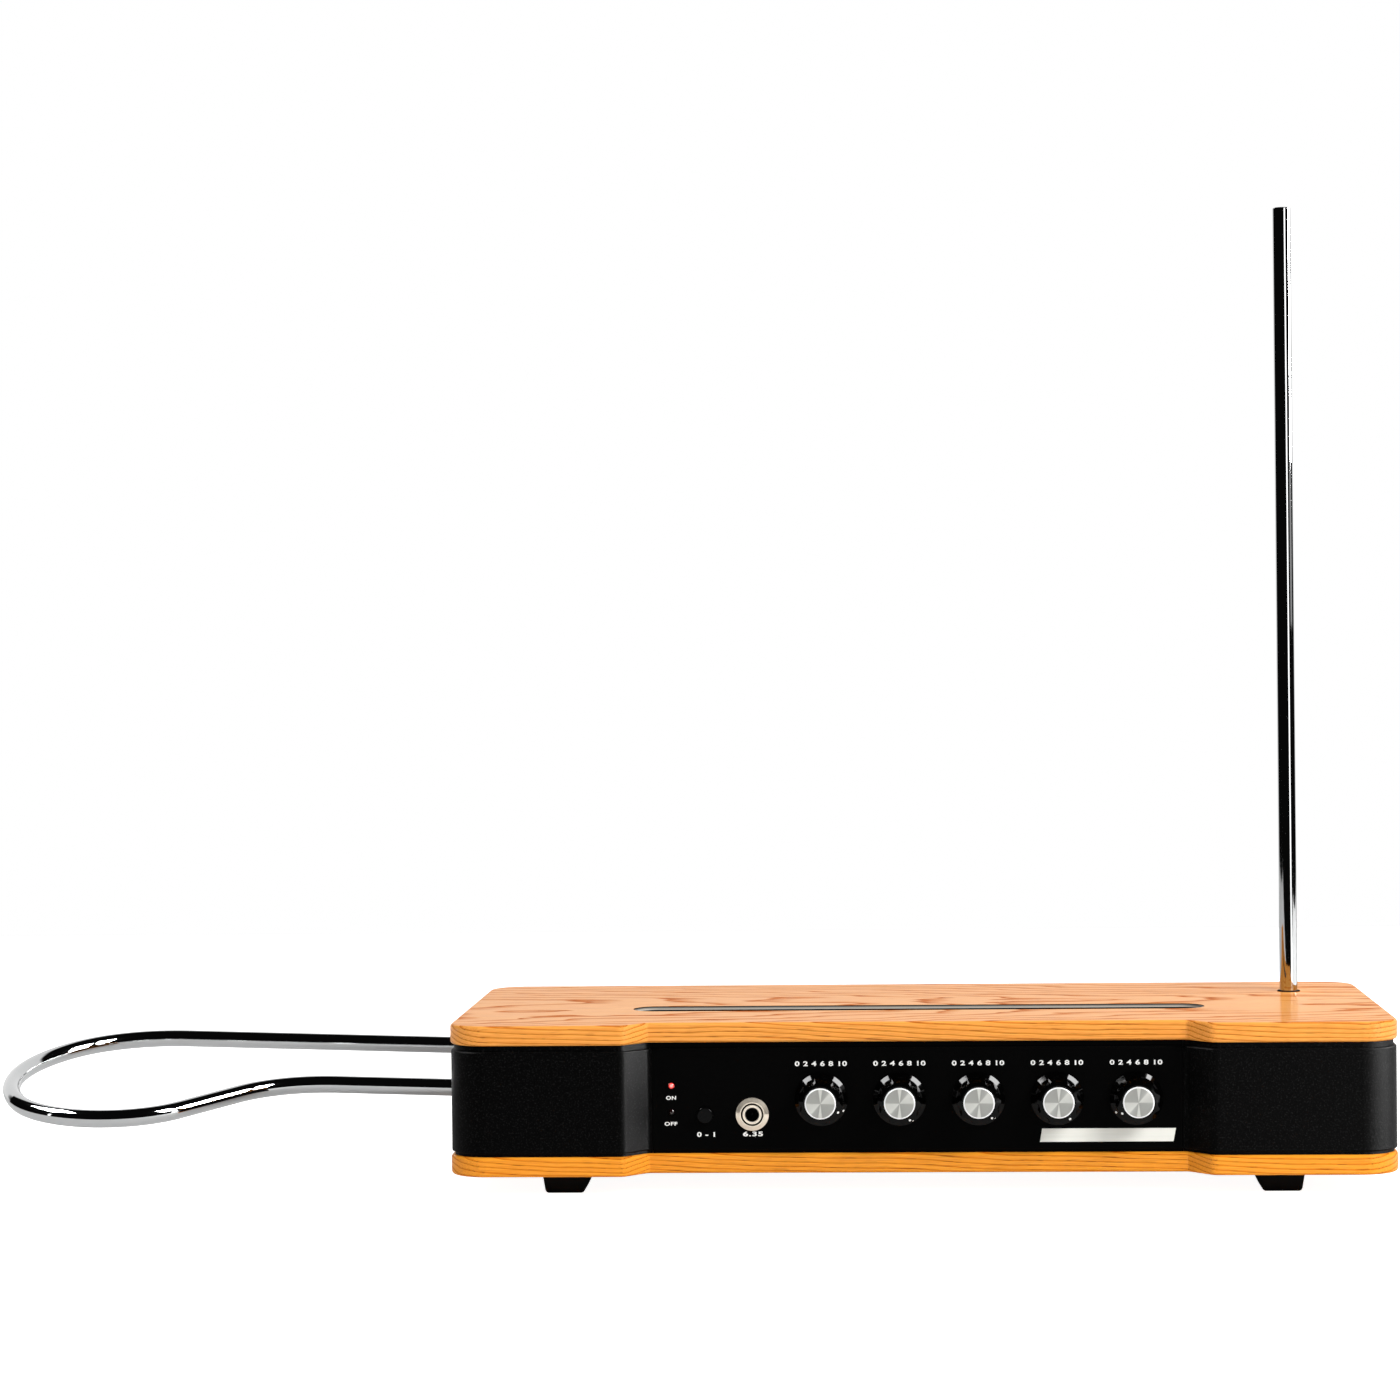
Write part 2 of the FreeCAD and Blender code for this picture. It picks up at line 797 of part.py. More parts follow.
def pitch_antenna_socket():
    """Insulating cup under the top plate that holds the sleeve and the rod's foot."""
    seat = pitch_rod_foot() - seat_gap
    inner = pitch_rod_radius + running_clearance + sleeve_wall
    outer = pitch_socket_radius()
    low = seat - socket_floor
    flange_low = top_plate_underside - socket_flange_thickness
    profile = [
        (plug_pin_radius + pin_clearance, low),
        (outer, low),
        (outer, flange_low),
        (socket_flange_radius, flange_low),
        (socket_flange_radius, top_plate_underside),
        (inner, top_plate_underside),
        (inner, seat),
        (plug_pin_radius + pin_clearance, seat),
    ]
    cup = turned(profile)
    cup.translate(Vector(pitch_antenna_x, pitch_antenna_y, 0))
    for x, y in socket_screw_places():
        cup = cup.cut(rod(small_screw_radius + thread_clearance, flange_low, top_plate_underside, x, y))
    return cup


# ---------------------------------------------------------------- volume antenna

def bend(start, heading, radius, turn):
    """Arc that leaves a point along a heading and turns by some degrees; its end and new heading too."""
    spoke = Rotation(UP, -math.copysign(90.0, turn)).multVec(heading) * radius
    centre = start - spoke
    middle = centre + Rotation(UP, turn / 2).multVec(spoke)
    end = centre + Rotation(UP, turn).multVec(spoke)
    return Part.Arc(start, middle, end).toShape(), end, Rotation(UP, turn).multVec(heading)


def loop_centre_line():
    """Edges in the loop's own plane, from the rear leg's end round the nose to the front leg's end."""
    front_leg, rear_leg = leg_offsets()
    front_turn = 180.0 + loop_neck_angle_deg - loop_rear_turn_deg - loop_nose_turn_deg
    here = Vector(-loop_bend_start, rear_leg, 0)
    heading = Vector(-1, 0, 0)
    edges = [Part.makeLine(Vector(loop_engagement, rear_leg, 0), here)]
    for radius, turn in (
        (loop_rear_radius, loop_rear_turn_deg),
        (loop_nose_radius, loop_nose_turn_deg),
        (loop_front_radius, front_turn),
    ):
        arc, here, heading = bend(here, heading, radius, turn)
        edges.append(arc)
    last_rise = loop_neck_radius * (1 - math.cos(math.radians(loop_neck_angle_deg)))
    neck_end = here + heading * ((front_leg - last_rise - here.y) / heading.y)
    arc, leg_start, heading = bend(neck_end, heading, loop_neck_radius, -loop_neck_angle_deg)
    leg = Part.makeLine(leg_start, Vector(loop_engagement, front_leg, 0))
    return edges + [Part.makeLine(here, neck_end), arc, leg]


def volume_loop_rod():
    """One rod bent in tangent arcs: a round nose, a full belly at the front and a neck back to the leg."""
    path = Part.Wire(loop_centre_line())
    start = path.Vertexes[0].Point
    circle = Part.Wire(Part.makeCircle(loop_rod_radius, start, ALONG_X))
    swept = path.makePipeShell([circle], True, True)
    return in_loop_frame(swept)


def volume_loop_plugs():
    return [leg_cylinder(plug_pin_radius, loop_engagement, plug_pin_length, y) for y in leg_offsets()]


def loop_sleeve_radius():
    return loop_rod_radius + running_clearance + sleeve_wall


def bracket_seat():
    return loop_engagement + seat_gap


def bracket_length():
    return bracket_seat() + bracket_back_wall - bracket_start


def volume_antenna_sleeves():
    length = bracket_seat() - bracket_start
    sleeves = []
    for offset in leg_offsets():
        outer = leg_cylinder(loop_sleeve_radius(), bracket_start, length, offset)
        bore = leg_cylinder(loop_rod_radius + running_clearance, bracket_start, length, offset)
        sleeves.append(outer.cut(bore))
    return sleeves


def bracket_foot_centres():
    spread = loop_leg_spacing / 2 * math.cos(math.radians(loop_tilt_deg))
    return (loop_centre_y - spread, loop_centre_y + spread)


def volume_antenna_bracket():
    """Tilted insulating block on two feet, bored for both sleeves and for the legs' plug pins."""
    half_block = loop_leg_spacing / 2 + loop_sleeve_radius() + bracket_side_wall
    body = block(
        bracket_start,
        bracket_start + bracket_length(),
        -half_block,
        half_block,
        -bracket_half_height,
        bracket_half_height,
    )
    body = in_loop_frame(body)
    near = -half_width + wall_inner_inset + bracket_start
    far = -half_width + bracket_start + bracket_length()
    for y in bracket_foot_centres():
        y_low = y - bracket_foot_width / 2
        y_high = y + bracket_foot_width / 2
        body = body.fuse(block(near, far - wall_inset, y_low, y_high, bottom_plate_top, loop_centre_z))
        base_top = bottom_plate_top + bracket_base_thickness
        body = body.fuse(block(near, far + bracket_base_reach, y_low, y_high, bottom_plate_top, base_top))
    body = trimmed_above_loop(body)
    for x, y in bracket_screw_places():
        body = body.cut(rod(small_screw_radius + thread_clearance, bottom_plate_top, loop_centre_z, x, y))
    depth = bracket_seat() - bracket_start
    for offset in leg_offsets():
        body = body.cut(leg_cylinder(loop_sleeve_radius(), bracket_start, depth, offset))
        body = body.cut(leg_cylinder(plug_pin_radius + pin_clearance, bracket_start, 2 * depth, offset))
    return body.removeSplitter()


def trimmed_above_loop(body):
    """Cuts off what the upright feet raise above the tilted block."""
    reach = case_width
    above = block(-reach, reach, -reach, reach, bracket_half_height, reach)
    return body.cut(in_loop_frame(above))


def bracket_screws():
    seat = bottom_plate_top + bracket_base_thickness
    return [screw(small_screw(), x, y, seat, -1) for x, y in bracket_screw_places()]


# ---------------------------------------------------------------- knobs and their potentiometers

def knob_flutes():
    """Coned cutters for the finger flutes, which deepen towards the top; none at the pointer."""
    ring = knob_flute_floor_top + knob_flute_top_radius
    foot_radius = ring - knob_flute_floor_low
    length = knob_height - knob_flute_start
    flutes = []
    for k in range(1, knob_flute_places):
        angle = math.radians(360.0 * k / knob_flute_places)
        place = Vector(ring * math.cos(angle), ring * math.sin(angle), knob_flute_start)
        flutes.append(Part.makeCone(foot_radius, knob_flute_top_radius, length, place))
    return flutes


def knob_body(x, pointer_deg):
    """Skirted knob: a low cone, a fluted grip and a well for the cap, hollow over the nut."""
    cap_floor = knob_height - knob_cap_thickness
    bushing_room = pot_bushing_reach - knob_gap + nut_clearance
    nut_room = pot_nut_height - knob_gap + nut_clearance
    nut_radius = pot_nut_width / math.sqrt(3) + nut_clearance
    bore = shaft_radius + thread_clearance
    bore_top = shaft_reach - knob_gap + seat_gap
    profile = [
        (nut_radius, 0),
        (knob_skirt_radius, 0),
        (knob_skirt_radius, knob_skirt_rim),
        (knob_grip_radius, knob_skirt_rise),
        (knob_top_radius, knob_height - knob_shoulder_drop),
        (knob_top_radius - knob_shoulder_run, knob_height),
        (knob_cap_radius, knob_height),
        (knob_cap_radius, cap_floor),
        (0, cap_floor),
        (0, bore_top),
        (bore, bore_top),
        (bore, bushing_room),
        (pot_bushing_radius + nut_clearance, bushing_room),
        (pot_bushing_radius + nut_clearance, nut_room),
        (nut_radius, nut_room),
    ]
    body = cut_all(turned(profile), knob_flutes())
    flat_at = shaft_radius - shaft_flat
    flat = block(flat_at, 2 * bore, -bore, bore, bushing_room, bore_top)
    body = body.fuse(flat.common(rod(bore + thread_clearance, bushing_room, bore_top))).removeSplitter()
    body.translate(Vector(0, 0, knob_gap))
    return on_front(body, x, knob_z, pointer_deg)


def knob_cap(x, pointer_deg):
    floor = knob_gap + knob_height - knob_cap_thickness
    top = knob_gap + knob_height
    profile = [
        (0, floor),
        (knob_cap_radius, floor),
        (knob_cap_radius, top),
        (knob_cap_radius - knob_cap_chamfer, top + knob_cap_chamfer),
        (0, top + knob_cap_chamfer),
    ]
    return on_front(turned(profile), x, knob_z, pointer_deg)


def knob_shaft(x, pointer_deg):
    """Potentiometer shaft with a flat where the knob grips it."""
    shaft = rod(shaft_radius, -wall_thickness - pot_can_depth + 2 * seat_gap, shaft_reach)
    flat_from = pot_bushing_reach + seat_gap
    gripped = shaft_radius - shaft_flat - thread_clearance
    shaft = shaft.cut(block(gripped, 2 * shaft_radius, -shaft_radius, shaft_radius, flat_from, shaft_reach))
    return on_front(shaft, x, knob_z, pointer_deg)


def potentiometers():
    """Round cans behind the panel, with threaded bushings through it."""
    back = -wall_thickness - pot_can_depth
    solids = []
    for x in knob_places():
        can = rod(pot_can_radius, back, -wall_thickness)
        can = can.fuse(rod(pot_bushing_radius, back, pot_bushing_reach)).removeSplitter()
        can = can.cut(rod(shaft_radius + running_clearance, back + seat_gap, pot_bushing_reach))
        solids.append(on_front(can, x, knob_z))
    return solids


def pot_nuts():
    nut = hexagon(pot_nut_width, 0, pot_nut_height)
    nut = nut.cut(rod(pot_bushing_radius + thread_clearance, 0, pot_nut_height))
    return [on_front(nut, x, knob_z) for x in knob_places()]


# ---------------------------------------------------------------- button and lamps

def mute_button():
    """Round cap with a retaining flange behind the panel and a stem towards its switch."""
    flange_top = -wall_thickness - seat_gap
    flange_low = flange_top - button_flange_thickness
    cap = rod(button_radius, flange_low, button_proud)
    top_edges = [edge for edge in cap.Edges if edge.BoundBox.ZMin > button_proud - 1e-3]
    cap = cap.makeFillet(button_round, top_edges)
    cap = cap.fuse(rod(button_flange_radius, flange_low, flange_top))
    stem_end = -wall_thickness - board_front_depth + switch_height + button_travel + thread_clearance
    cap = cap.fuse(rod(stem_radius, stem_end, flange_low)).removeSplitter()
    return on_front(cap, button_x, button_z)


def mute_switch():
    half = switch_size / 2
    low = -wall_thickness - board_front_depth
    step = switch_height - stem_radius / 2
    body = block(-half, half, -half, half, low, low + step)
    body = body.fuse(rod(stem_radius, low, low + switch_height)).removeSplitter()
    return on_front(body, button_x, button_z)


def led(z):
    """Domed lamp on a stalk from the indicator board."""
    low = -wall_thickness - board_front_depth
    rim = -led_body_depth
    top = led_proud - led_radius
    lens = rod(led_radius, low, top)
    lens = lens.fuse(Part.makeSphere(led_radius, Vector(0, 0, top)))
    lens = lens.fuse(rod(led_flange_radius, rim - seat_gap, rim + seat_gap)).removeSplitter()
    return on_front(lens, led_x, z)


# ---------------------------------------------------------------- jacks and inlet

def jack(bore, barrel, proud, depth, width, length):
    """Socket made along +Z from the panel's face, with a barrel through the panel and a boxed body."""
    half = width / 2
    body = block(-half, half, -half, half, -wall_thickness - length, -wall_thickness)
    edges = [edge for edge in body.Edges if edge.BoundBox.ZLength > length - 1e-3]
    body = body.makeChamfer(jack_body_chamfer, edges)
    body = body.fuse(rod(barrel, -wall_thickness - jack_body_chamfer, proud)).removeSplitter()
    return body.cut(rod(bore, proud - depth, proud))


def quarter_inch_jack():
    return jack(
        jack_bore_radius, jack_barrel_radius, jack_barrel_proud, jack_depth, jack_body_width, jack_body_length
    )


def small_jack():
    return jack(
        small_jack_bore_radius,
        small_jack_barrel_radius,
        small_jack_barrel_proud,
        small_jack_depth,
        small_jack_body_width,
        small_jack_body_length,
    )


def round_nut(radius, bore, height):
    """Round dress nut with a coned face and a countersunk bore."""
    cone = height * nut_cone_height_ratio
    ring = radius - bore
    mouth = ring * nut_mouth_ratio
    profile = [
        (bore, 0),
        (radius, 0),
        (radius, height - cone),
        (radius - ring * nut_cone_width_ratio, height),
        (bore + mouth, height),
        (bore, height - mouth),
    ]
    return turned(profile)


def phones_jack_nut():
    nut = round_nut(jack_nut_radius, jack_barrel_radius + thread_clearance, jack_nut_height)
    return on_front(nut, phones_jack_x, phones_jack_z)


def rear_jack_nuts():
    large = round_nut(jack_nut_radius, jack_barrel_radius + thread_clearance, jack_nut_height)
    small_bore = small_jack_barrel_radius + thread_clearance
    small = round_nut(small_jack_nut_radius, small_bore, small_jack_nut_height)
    nuts = [on_rear(small, x, rear_socket_z) for x in small_jack_places()]
    return nuts + [on_rear(large, output_jack_x, rear_socket_z)]


def dc_inlet():
    """Barrel socket: a round nose in the panel and a pin that stands inside it."""
    half = inlet_body_width / 2
    body = block(-half, half, -half, half, -wall_thickness - inlet_body_length, -wall_thickness)
    body = body.fuse(rod(inlet_nose_radius, -wall_thickness - half / 2, inlet_nose_proud)).removeSplitter()
    floor = inlet_nose_proud - inlet_depth
    body = body.cut(rod(inlet_bore_radius, floor, inlet_nose_proud))
    pin = rod(inlet_pin_radius, floor - inlet_pin_radius, inlet_nose_proud - inlet_pin_radius)
    return on_rear(body.fuse(pin).removeSplitter(), inlet_x, rear_socket_z)


# ---------------------------------------------------------------- circuit boards

def main_board():
    low = main_board_top - board_thickness
    corners = rectangle_corners(
        main_board_length, main_board_width, board_corner_radius, 0.0, main_board_centre_y
    )
    board = prism(corners, low, main_board_top)
    bore = small_screw_radius + thread_clearance
    return cut_all(board, [rod(bore, low, main_board_top, x, y) for x, y in board_hole_places()])


def board_standoffs():
    top = main_board_top - board_thickness
    bore = small_screw_radius + thread_clearance
    return [tube(standoff_radius, bore, bottom_plate_top, top, x, y) for x, y in board_hole_places()]


def board_screws():
    return [screw(small_screw(), x, y, main_board_top, -1) for x, y in board_hole_places()]


def coil_bobbin(x, y):
    """Wound choke: two flanges with a fat winding between them."""
    top = main_board_top + coil_height
    edge = coil_flange_thickness
    profile = [
        (coil_core_radius, main_board_top),
        (coil_flange_radius, main_board_top),
        (coil_flange_radius, main_board_top + edge),
        (coil_winding_radius, main_board_top + edge),
        (coil_winding_radius, top - edge),
        (coil_flange_radius, top - edge),
        (coil_flange_radius, top),
        (coil_core_radius, top),
    ]
    bobbin = turned(profile)
    bobbin.translate(Vector(x, y, 0))
    return bobbin


def coil_row(side):
    """Row of chokes beside the end of the main board that its antenna is nearest to."""
    x = side * (main_board_length / 2 - board_hole_inset - 2 * coil_flange_radius)
    first = main_board_centre_y - coil_pitch * (coil_count - 1) / 2
    return [coil_bobbin(x, first + k * coil_pitch) for k in range(coil_count)]


def board_chips():
    """Two rows of dual-in-line chips in the middle of the main board."""
    chip = block(-chip_length / 2, chip_length / 2, -chip_width / 2, chip_width / 2, 0, chip_height)
    chips = []
    for row in (-1, 1):
        for column in (-1, 0, 1):
            y = main_board_centre_y + row * chip_row_offset
            chips.append(chip.translated(Vector(column * chip_pitch, y, main_board_top)))
    return chips


def board_capacitors():
    y = main_board_centre_y + main_board_width / 2 - board_hole_inset - 2 * capacitor_radius
    first = -capacitor_pitch * (capacitor_count - 1) / 2
    top = main_board_top + capacitor_height
    return [
        rod(capacitor_radius, main_board_top, top, first + k * capacitor_pitch, y)
        for k in range(capacitor_count)
    ]


def indicator_boss_places():
    inset = 2 * boss_radius
    return [
        (indicator_board_left + inset, panel_board_low_z + boss_radius),
        (indicator_board_right - inset, panel_board_high_z - inset),
    ]


def panel_boards():
    """The board behind the potentiometers, and the small one behind the button and lamps."""
    y = panel_back_y + board_front_depth
    knobs = knob_places()
    spans = [
        (knobs[0] - panel_board_margin, knobs[-1] + panel_board_margin),
        (indicator_board_left, indicator_board_right),
    ]
    back = y + board_thickness
    return [block(left, right, y, back, panel_board_low_z, panel_board_high_z) for left, right in spans]


# ---------------------------------------------------------------- export

WALL = wall_ring()


def all_nodes():
    nodes = {
        "top_plate": top_plate(),
        "bottom_plate": bottom_plate(),
        "left_end_shell": left_end_shell(),
        "right_end_shell": right_end_shell(),
        "front_panel": front_panel(),
        "rear_panel": rear_panel(),
        "case_posts": case_posts(),
        "plate_inserts": plate_inserts(),
        "case_screws": case_screws(),
        "rubber_feet": rubber_feet(),
        "foot_screws": foot_screws(),
        "mic_stand_flange": mic_stand_flange(),
        "mic_flange_screws": mic_flange_screws(),
        "slot_liner": slot_liner(),
        "top_plate_screws": top_plate_screws(),
        "pitch_antenna_rod": pitch_antenna_rod(),
        "pitch_antenna_plug": pitch_antenna_plug(),
        "pitch_antenna_collar": pitch_antenna_collar(),
        "pitch_antenna_sleeve": pitch_antenna_sleeve(),
        "pitch_antenna_socket": pitch_antenna_socket(),
        "volume_loop_rod": volume_loop_rod(),
        "volume_loop_plugs": volume_loop_plugs(),
        "volume_antenna_sleeves": volume_antenna_sleeves(),
        "volume_antenna_bracket": volume_antenna_bracket(),
        "bracket_screws": bracket_screws(),
        "potentiometers": potentiometers(),
        "pot_nuts": pot_nuts(),
        "mute_button": mute_button(),
        "mute_switch": mute_switch(),
        "power_led": led(power_led_z),
        "mute_led": led(mute_led_z),
        "phones_jack": on_front(quarter_inch_jack(), phones_jack_x, phones_jack_z),
        "phones_jack_nut": phones_jack_nut(),
        "output_jack": on_rear(quarter_inch_jack(), output_jack_x, rear_socket_z),
        "cv_jacks": [on_rear(small_jack(), x, rear_socket_z) for x in small_jack_places()],
        "rear_jack_nuts": rear_jack_nuts(),
        "dc_inlet": dc_inlet(),
        "main_board": main_board(),
        "board_standoffs": board_standoffs(),
        "board_screws": board_screws(),
        "board_chips": board_chips(),
        "board_capacitors": board_capacitors(),
        "pitch_coils": coil_row(1),
        "volume_coils": coil_row(-1),
        "panel_boards": panel_boards(),
    }
    for number, x in enumerate(knob_places(), start=1):
        pointer_deg = knob_pointer_deg[number - 1]
        nodes["knob_%d_body" % number] = knob_body(x, pointer_deg)
        nodes["knob_%d_cap" % number] = knob_cap(x, pointer_deg)
        nodes["knob_%d_shaft" % number] = knob_shaft(x, pointer_deg)
    return nodes


def main():
    os.makedirs("parts", exist_ok=True)
    for node, shape in all_nodes().items():
        if isinstance(shape, list):
            shape = Part.makeCompound(shape)
        shape.exportStep("parts/%s.step" % node)


main()
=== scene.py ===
"""Looks of a table-top theremin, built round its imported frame.

Metres, in the frame's own axes: +X to the player's right, -Y is the front panel's side, +Z is up.
Every shader is procedural. Colours are written as sRGB hex values and turned into linear ones.
"""

import json
import math

import bmesh
import bpy
from mathutils import Euler, Matrix, Vector


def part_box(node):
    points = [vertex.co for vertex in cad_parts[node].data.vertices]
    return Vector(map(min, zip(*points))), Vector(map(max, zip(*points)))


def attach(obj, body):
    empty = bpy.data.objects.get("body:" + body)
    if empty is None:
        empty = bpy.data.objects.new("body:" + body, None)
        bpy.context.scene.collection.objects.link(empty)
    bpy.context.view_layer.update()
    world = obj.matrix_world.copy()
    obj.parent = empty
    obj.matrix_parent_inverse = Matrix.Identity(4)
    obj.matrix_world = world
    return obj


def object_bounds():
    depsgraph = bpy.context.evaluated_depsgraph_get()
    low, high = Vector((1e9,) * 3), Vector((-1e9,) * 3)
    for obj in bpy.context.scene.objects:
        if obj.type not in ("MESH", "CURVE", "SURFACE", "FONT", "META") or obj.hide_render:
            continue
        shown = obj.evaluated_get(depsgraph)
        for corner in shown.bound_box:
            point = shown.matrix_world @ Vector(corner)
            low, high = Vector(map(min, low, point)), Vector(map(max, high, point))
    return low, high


MM = 0.001

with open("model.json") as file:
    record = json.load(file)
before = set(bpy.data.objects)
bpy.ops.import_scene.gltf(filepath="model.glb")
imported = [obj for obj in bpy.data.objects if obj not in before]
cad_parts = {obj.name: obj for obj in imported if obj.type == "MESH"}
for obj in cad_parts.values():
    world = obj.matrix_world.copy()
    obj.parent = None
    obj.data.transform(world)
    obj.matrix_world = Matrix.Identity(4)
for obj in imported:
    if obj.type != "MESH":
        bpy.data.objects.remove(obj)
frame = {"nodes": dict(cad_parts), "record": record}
cad_low, cad_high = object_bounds()
nodes = frame["nodes"]


# ---------------------------------------------------------------- named sizes

# Camera in front of the panel, a little above it.
CAMERA_PLACE = (-1.68 * MM, -1851.3 * MM, 265.9 * MM)
CAMERA_TURN_DEG = (89.055, 0.693, 3.433)
CAMERA_LENS = 90.92
CAMERA_SENSOR = 36.0
CAMERA_NEAR = 0.05
CAMERA_FAR = 100.0

# Print on the front panel: centres (x, z) and sizes in millimetres.
PRINT_RISE = 0.03 * MM
PRINT_WEIGHT = 0.03
PRINT_SPACING = 1.12
PRINT_EXTRUDE = 0.01              # any thickness will do, because PRINT_RISE replaces it
KNOB_SCALE = "0 2 4 6 8 10"
KNOB_SCALE_ABOVE = 17.7
KNOB_SCALE_SIZE = (26.0, 2.5)
PANEL_MARKS = (
    ("mark_power", "ON", (-124.6, 37.9), (5.0, 1.9)),
    ("mark_mute_lamp", "OFF", (-124.8, 24.9), (6.4, 1.9)),
    ("mark_button", "0 - 1", (-107.3, 19.5), (9.0, 2.4)),
    ("mark_phones", "6.35", (-83.8, 19.7), (10.0, 2.4)),
)

# Bare silver strip under the knobs, in millimetres: corners (x, z) and its stepped edge.
STRIP_CORNERS = ((59.0, 15.2), (125.0, 15.3), (126.3, 21.9), (60.1, 21.9))
STRIP_THICKNESS = 0.4
STRIP_WALL_SHARE = 0.8            # share of the thickness below the outer bevel
STRIP_BEVEL = 0.08
STRIP_BORDER = 0.45
STRIP_INNER_BEVEL = 0.1
STRIP_SUNK = 0.12

# White dots at each knob's pointer: distance from the axis, height over the knob's foot, radius.
POINTER_DEG = (117.0, 149.0, 140.0, 146.0, -124.0)
SHOULDER_DOT = (9.75, 17.27, 0.62)
SKIRT_DOT = (12.35, 2.0, 0.55)
SHOULDER_SLOPE = (2.3, 1.4)       # run and drop of the grip's shoulder
SKIRT_SLOPE = (2.0, 1.8)          # run and drop of the skirt's cone
DOT_FLATNESS = 0.12
DOT_SEGMENTS = 20
DOT_RINGS = 10

# Oiled wood: pale wood, deeper wood, ring lines, fibres, pores.
TOP_TONES = ("ffb356", "ffa94a", "c86004", "c46010", "7a2c04")
BOTTOM_TONES = ("ffaa34", "ffa22a", "d26402", "c86004", "702802")
TOP_BOARD = (0.031, 0.012, 0.0)   # where each plate is cut from the same trunk
BOTTOM_BOARD = (0.57, -0.021, 0.16)
PITH_DEPTH = 0.36                 # the trunk's middle runs below the boards, at a slight slope
PITH_SLOPE = 0.035
RINGS_PER_METRE = 430.0
RING_BEND = 0.012                 # how far slow and quick waves push the rings
RING_WAVE = 0.0032
RING_DEPTH = 0.9                  # how strongly a ring line covers the pale wood
RING_STOPS = ((0.0, 1.0), (0.12, 0.5), (0.32, 0.06), (0.9, 0.0), (1.0, 0.9))
FIBRE_STOPS = ((0.30, 0.30), (0.58, 0.0))
PORE_STOPS = ((0.57, 0.0), (0.64, 1.0))
PORES_OUTSIDE_RINGS = 0.15
PORE_DEPTH = 0.85
SLOW_SCALE = (5.0, 16.0, 16.0)    # noise cells per metre along, across and up through the board
WAVE_SCALE = (16.0, 60.0, 60.0)
FIBRE_SCALE = (45.0, 1700.0, 1700.0)
PORE_SCALE = (110.0, 3000.0, 3000.0)
BLOTCH_SCALE = (4.0, 14.0, 14.0)
OPEN_GRAIN_ROUGHER = 0.3          # added to the roughness in rings and pores
GRAIN_RELIEF = 0.02 * MM
# painted shadow gap: wood round the slot's lining is darkened to this tone
SLOT_SHADE_TONE = "2a2622"
SLOT_SHADE_REACH = 0.6 * MM             # reach of the painted shade on the wood round the slot's lining
SLOT_SHADE_SKIN = 0.02 * MM             # keeps the painted shade off the top face

# Powder coat: only the highest clumps show painted glints, paler specks in the colour.
PAINTED_GLINT_STOPS = ((0.54, 0.0), (0.7, 1.0))

# Moulded pieces: how far the roughness of their skin varies each way.
SKIN_UNEVEN = 0.04

# Fine lines left by brushing or turning: noise cells per metre along each axis.
LINES_UPRIGHT = (900.0, 900.0, 60.0)
LINES_ALONG = (60.0, 900.0, 900.0)
FOIL_LINES = (40.0, 1500.0, 1500.0)

# Turned caps on the knobs.
SPIN_SHEEN = 0.95                 # how strongly the caps' turned faces fan out the light
SPIN_RINGS = 9000.0
# painted highlight: share of the cap's radius where its rim turns white
CAP_RIM_HIGHLIGHT_STOPS = ((0.9, 0.0), (0.935, 1.0))
# how far the painted dark reflection sectors darken the cap's face
CAP_PAINTED_FAN_DEPTH = 0.7
CAP_PAINTED_FAN = (                    # painted reflection sectors: share of half a turn from straight up, darkness
    (0.0, 0.0), (0.035, 0.0), (0.06, 1.0), (0.2, 0.9), (0.25, 0.15),
    (0.48, 0.2), (0.53, 0.9), (0.95, 1.0), (0.97, 0.0),
)

# Black round the openings of the quarter-inch jacks; in the nut it is painted shade in its countersink.
JACK_BLACK_RADIUS = 3.65 * MM
# painted shade: the nut's countersink is black inside this radius
NUT_PAINTED_SHADE_RADIUS = 5.75 * MM
MOUTH_EDGE = 0.97                 # share of the radius where black turns to metal
PLATING_UNEVEN = 0.06             # how much rougher the dullest plating is than the brightest

# Lining of the slot: a pale rim with painted shading, darker at its top edge, and painted shade that turns
# it black a little way down.
LINER_FADE = 4.0 * MM
LINER_SHADE_STOPS = ((0.30, 0.0), (0.37, 1.0))
LINER_RIM_SHADING_STOPS = ((0.0, 0.1), (0.05, 0.3), (0.14, 0.8), (0.26, 1.0))

# Lit lamp, from its middle to its rim.
LENS_GLOW = ((0.0, "ffd0c8"), (0.16, "ff6a5e"), (0.45, "c4141a"), (0.85, "4a0406"))


# ---------------------------------------------------------------- shader helpers

def linear(code):
    """Linear colour of an sRGB hex code such as "e29a45"."""
    parts = [int(code[i:i + 2], 16) / 255 for i in (0, 2, 4)]
    return tuple(c / 12.92 if c <= 0.04045 else ((c + 0.055) / 1.055) ** 2.4 for c in parts) + (1.0,)


